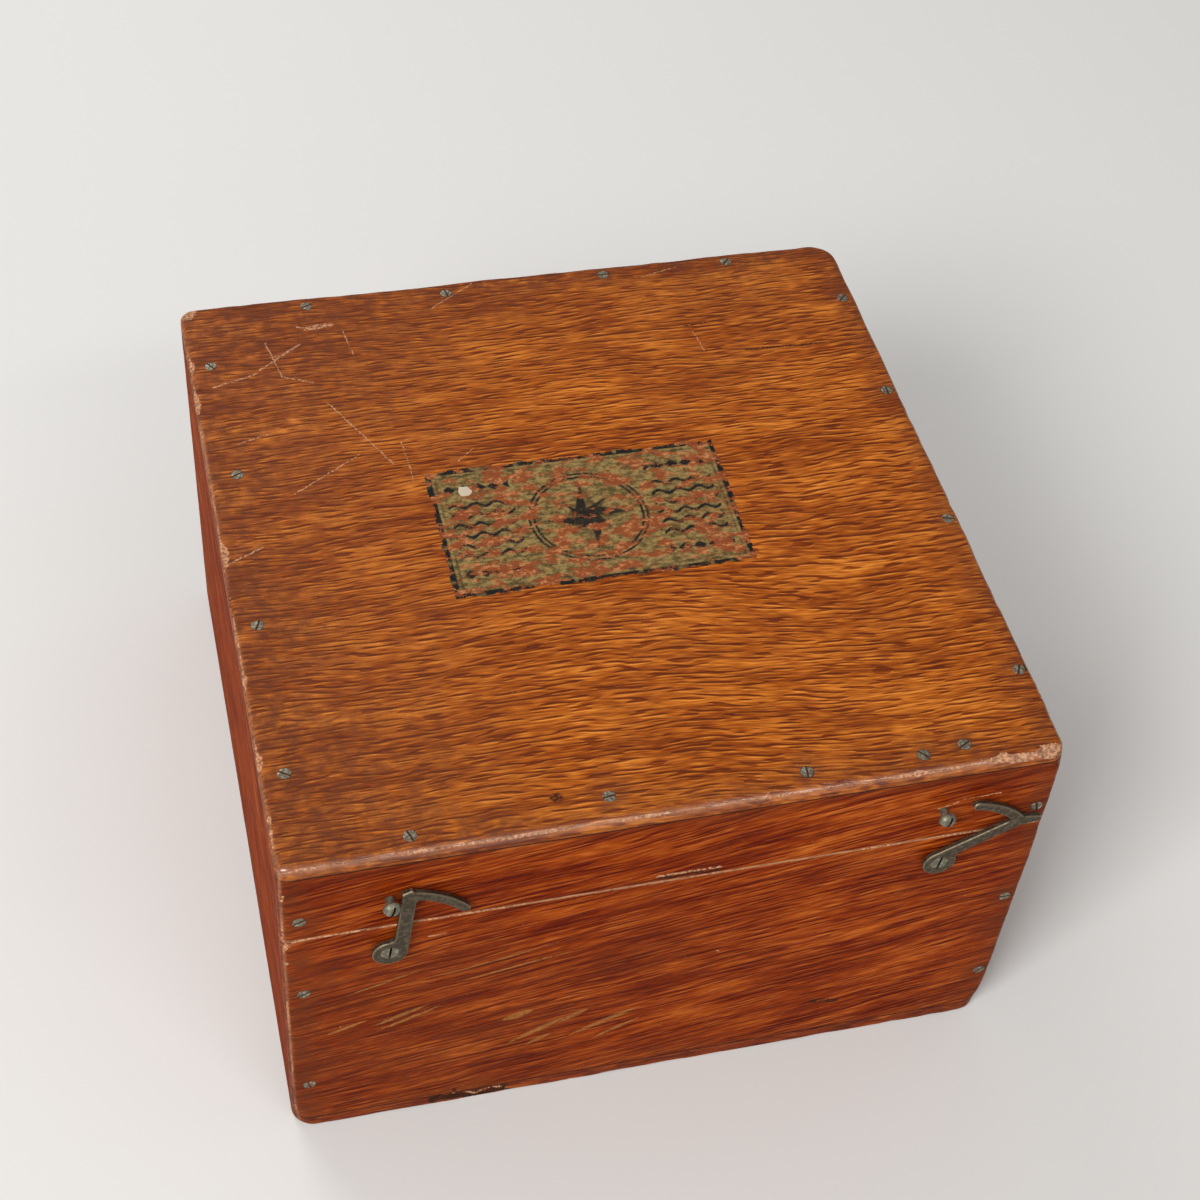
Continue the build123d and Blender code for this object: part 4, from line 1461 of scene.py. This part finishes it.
@dataclass
class Transfer:
    """The paper transfer on the lid: khaki, with a compass star, sea lines and a broken black border."""

    case: WornCase
    centre: Place = (-1.0, -0.7)
    width: float = 103.0
    depth: float = 59.0
    pitch: float = 0.42
    rise: float = 0.06
    border: float = 1.9
    star: float = 15.5
    rings: Place = (3.0, 4.6)
    wave_gap: float = 4.6
    wave_reach: float = 13.0
    diamond_gap: float = 5.2
    diamond_row: float = 19.5
    wax: Place = (-39.8, 17.8)

    def build(self) -> bpy.types.Object:
        """Lay the transfer on the worn top."""
        columns, rows = round(self.width / self.pitch), round(self.depth / self.pitch)
        across = np.linspace(-1, 1, columns + 1) * self.width / 2
        along = np.linspace(-1, 1, rows + 1) * self.depth / 2
        u, v = np.meshgrid(across, along)
        flat = np.column_stack([u.ravel(), v.ravel()])
        sharp = np.column_stack([flat + np.array(self.centre), np.full(len(flat), self.case.height)])
        points = sharp.copy()
        points[:, 2] += self.rise - self.case.fields(sharp)["skin"]
        from_wax = np.linalg.norm(sharp[:, :2] - np.array(self.wax), axis=1)
        wax = ease(from_wax + 0.7 * ripple(sharp, 1.5, 44), 2.8, 1.8)
        points[:, 2] += 0.02 * wax
        inset = np.minimum(self.width / 2 - np.abs(flat[:, 0]), self.depth / 2 - np.abs(flat[:, 1]))
        torn = 0.55 + 0.75 * ripple(sharp, 3.5, 41) + 0.5 * ripple(sharp, 1.2, 42)
        kept = inset > torn
        grid = np.arange(len(flat)).reshape(rows + 1, columns + 1)
        corners = (grid[:-1, :-1], grid[:-1, 1:], grid[1:, 1:], grid[1:, :-1])
        cells = np.stack(corners, axis=-1).reshape(-1, 4)
        cells = cells[kept[cells].all(axis=1)]
        used, cells = np.unique(cells, return_inverse=True)
        shape = Shape.empty()
        shape.add(points[used], cells.reshape(-1, 4).tolist(), [0] * (cells.size // 4))
        marks = {"ink": self.print(flat, sharp, inset)[used], "wax": wax[used]}
        return shape.piece("label_transfer", "lid", "oak_top", [TransferFinish()], marks)

    def print(self, flat: Array, sharp: Array, inset: Array) -> Array:
        """How much ink lies at each place: the border, the star, sea lines and rows of diamonds."""
        u, v = flat.T
        ink = 1.3 * ease(np.abs(inset - 1.3), self.border / 2 + 0.15, self.border / 2 - 0.15)
        ink *= np.clip(1.1 + 1.1 * ripple(sharp, 2.2, 43), 0, 1)
        ink = np.maximum(ink, 0.8 * ease(np.abs(inset - 3.6), 0.3, 0.12))
        ink = np.maximum(ink, self.compass(np.hypot(u, v), np.arctan2(v, u)))
        field = (np.abs(u) > self.star + 8) & (inset > 5.5)
        waves = np.abs((v + 0.9 * np.sin(u * 0.9)) % self.wave_gap - self.wave_gap / 2)
        ink = np.maximum(ink, ease(waves, 0.95, 0.55) * field * (np.abs(v) < self.wave_reach))
        from_row = np.abs(np.abs(v) - self.diamond_row)
        diamond = np.abs(u % self.diamond_gap - self.diamond_gap / 2) * 0.8 + from_row
        return np.maximum(ink, ease(diamond, 2.3, 1.8) * field)

    def compass(self, radius: Array, angle: Array) -> Array:
        """How much ink of the star and its two rings lies at a distance and direction from the middle."""
        ink = np.zeros(len(radius))
        half = math.pi / 4
        for reach, turn in ((self.star, 0.0), (self.star * 0.68, half)):
            fold = np.abs((angle - turn + half) % (2 * half) - half)
            ray = radius * (np.cos(fold) + 3.1 * np.sin(fold))
            shaded = np.where((angle - turn) % (2 * half) < half, 0.95, 0.45)
            ink = np.maximum(ink, ease(ray, reach + 0.2, reach - 0.2) * shaded)
        for ring in self.rings:
            ink = np.maximum(ink, ease(np.abs(radius - self.star - ring), 0.6, 0.3))
        return ink


@dataclass
class Chocks:
    """The corner chocks, with baize glued to the seats that carry the mirror's ring."""

    oak: OakFinish = OakFinish(
        "oak_chock", Grain.TOP, BARE_TONES, shift=(0.0, 40.0, 500.0), contrast=0.8, gloss=0.2,
        roughness=0.6,
    )
    cloth: MattFinish = MattFinish(
        "green_baize", (0.012, 0.06, 0.028), (0.035, 0.13, 0.06), size=0.7, fibre=0.25
    )
    voxel: float = 0.6

    def build(self) -> None:
        """Dress the chocks and lay a strip of baize on each."""
        for end in ("front", "back"):
            for side in ("left", "right"):
                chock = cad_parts[f"chock_{end}_{side}"]
                chock.data.materials.clear()
                chock.data.materials.append(self.oak.material())
                self.strip(f"baize_{end}_{side}")

    def strip(self, node: str) -> None:
        """Make a strip of baize with a soft edge and an uneven top in place of its CAD solid."""
        mesh = softened(node, self.voxel)
        points, edges = mesh_arrays(mesh)
        soft = relax(points, edges, 1)
        low, high = (np.array(corner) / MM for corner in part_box(node))
        top = ease(soft[:, 2], low[2] + 0.5, high[2])
        soft[:, 2] -= top * (0.12 + 0.08 * ripple(soft, 3, 51) + 0.05 * ripple(soft, 1.3, 52))
        mesh.vertices.foreach_set("co", (soft * MM).ravel())
        mesh.materials.clear()
        mesh.materials.append(self.cloth.material())
        mesh.polygons.foreach_set("use_smooth", [True] * len(mesh.polygons))
        piece = bpy.data.objects.new(node + "_cloth", mesh)
        bpy.context.scene.collection.objects.link(piece)
        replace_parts(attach(piece, "base"), node)
        LOG.info("%s: %d faces", piece.name, len(mesh.polygons))

    def area(self, mesh: bpy.types.Mesh) -> float:
        """Area of the strip's cut in square metres: the part of its surface that looks up."""
        return sum(face.area for face in mesh.polygons if face.normal.z > 0.7)


@dataclass
class Studio:
    """Plain pale floor, soft lamps, and the camera where the photographer stood."""

    camera_place: Point = (-152.28, -498.87, 686.79)
    right: Point = (0.97050372, -0.23210021, 0.06520746)
    forward: Point = (0.20256164, 0.63835893, -0.74260801)
    focal_pixels: float = 2219.2
    frame_pixels: float = 1200.0
    floor_size: float = 60000.0
    floor_paint: MattFinish = MattFinish("pale_floor", (0.74, 0.73, 0.71), (0.72, 0.71, 0.69), 400.0)

    def floor(self) -> None:
        """Lay the floor."""
        mesh = bpy.data.meshes.new("floor")
        half = self.floor_size / 2 * MM
        corners = [(-half, -half, 0), (half, -half, 0), (half, half, 0), (-half, half, 0)]
        mesh.from_pydata(corners, [], [(0, 1, 2, 3)])
        mesh.materials.append(self.floor_paint.material())
        floor = bpy.data.objects.new("floor", mesh)
        bpy.context.scene.collection.objects.link(floor)

    def lamp(self, name: str, place: Point, size: Place, power: float) -> None:
        """Hang a wide soft lamp that points at the case."""
        data = bpy.data.lights.new(name, "AREA")
        data.shape = "RECTANGLE"
        data.size, data.size_y = (side * MM for side in size)
        data.energy = power
        lamp = bpy.data.objects.new(name, data)
        lamp.location = Vector(place) * MM
        lamp.rotation_euler = (-Vector(place)).to_track_quat("-Z", "Y").to_euler()
        bpy.context.scene.collection.objects.link(lamp)

    def world(self) -> None:
        """Light the case softly from all round, in front of a pale background."""
        world = bpy.data.worlds.new("studio")
        bpy.context.scene.world = world
        world.use_nodes = True
        nodes, links = world.node_tree.nodes, world.node_tree.links
        background = nodes["Background"]
        background.inputs["Color"].default_value = (1.0, 0.99, 0.975, 1)
        path = nodes.new("ShaderNodeLightPath")
        seen = nodes.new("ShaderNodeMath")
        seen.operation = "MAXIMUM"
        links.new(path.outputs["Is Camera Ray"], seen.inputs[0])
        links.new(path.outputs["Is Transmission Ray"], seen.inputs[1])
        level = nodes.new("ShaderNodeMapRange")
        level.inputs["To Min"].default_value = 0.38
        level.inputs["To Max"].default_value = 0.92
        links.new(seen.outputs[0], level.inputs["Value"])
        links.new(level.outputs["Result"], background.inputs["Strength"])

    def camera(self) -> None:
        """Stand the camera where it took the photograph."""
        right, forward = Vector(self.right), Vector(self.forward)
        up = right.cross(forward)
        turn = Matrix((right, up, -forward)).transposed().to_4x4()
        data = bpy.data.cameras.new("camera")
        data.sensor_width = 36.0
        data.lens = self.focal_pixels / self.frame_pixels * data.sensor_width
        data.clip_start, data.clip_end = 0.05, 50.0
        camera = bpy.data.objects.new("camera", data)
        camera.matrix_world = Matrix.Translation(Vector(self.camera_place) * MM) @ turn
        bpy.context.scene.collection.objects.link(camera)
        bpy.context.scene.camera = camera

    def build(self) -> None:
        """Set up the whole studio."""
        self.floor()
        self.world()
        self.lamp("key_lamp", (-1640, -1440, 1840), (1120, 1120), 58.0)
        self.lamp("back_lamp", (-500, 1250, 1250), (900, 900), 9.0)
        self.lamp("edge_lamp", (560, -1820, 2040), (1300, 260), 11.0)
        self.camera()
        bpy.context.scene.view_settings.view_transform = "Standard"
        LOG.info("studio ready")


def main() -> None:
    """Build the case in order and note what each step made."""
    logging.basicConfig(level=logging.INFO, format="%(message)s")
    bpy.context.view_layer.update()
    Studio().build()
    case = WornCase()
    CaseBoards(case).build(FlushScrews(case).build())
    BrassWork(case).build()
    Transfer(case).build()
    Chocks().build()


if __name__ == "__main__":
    main()
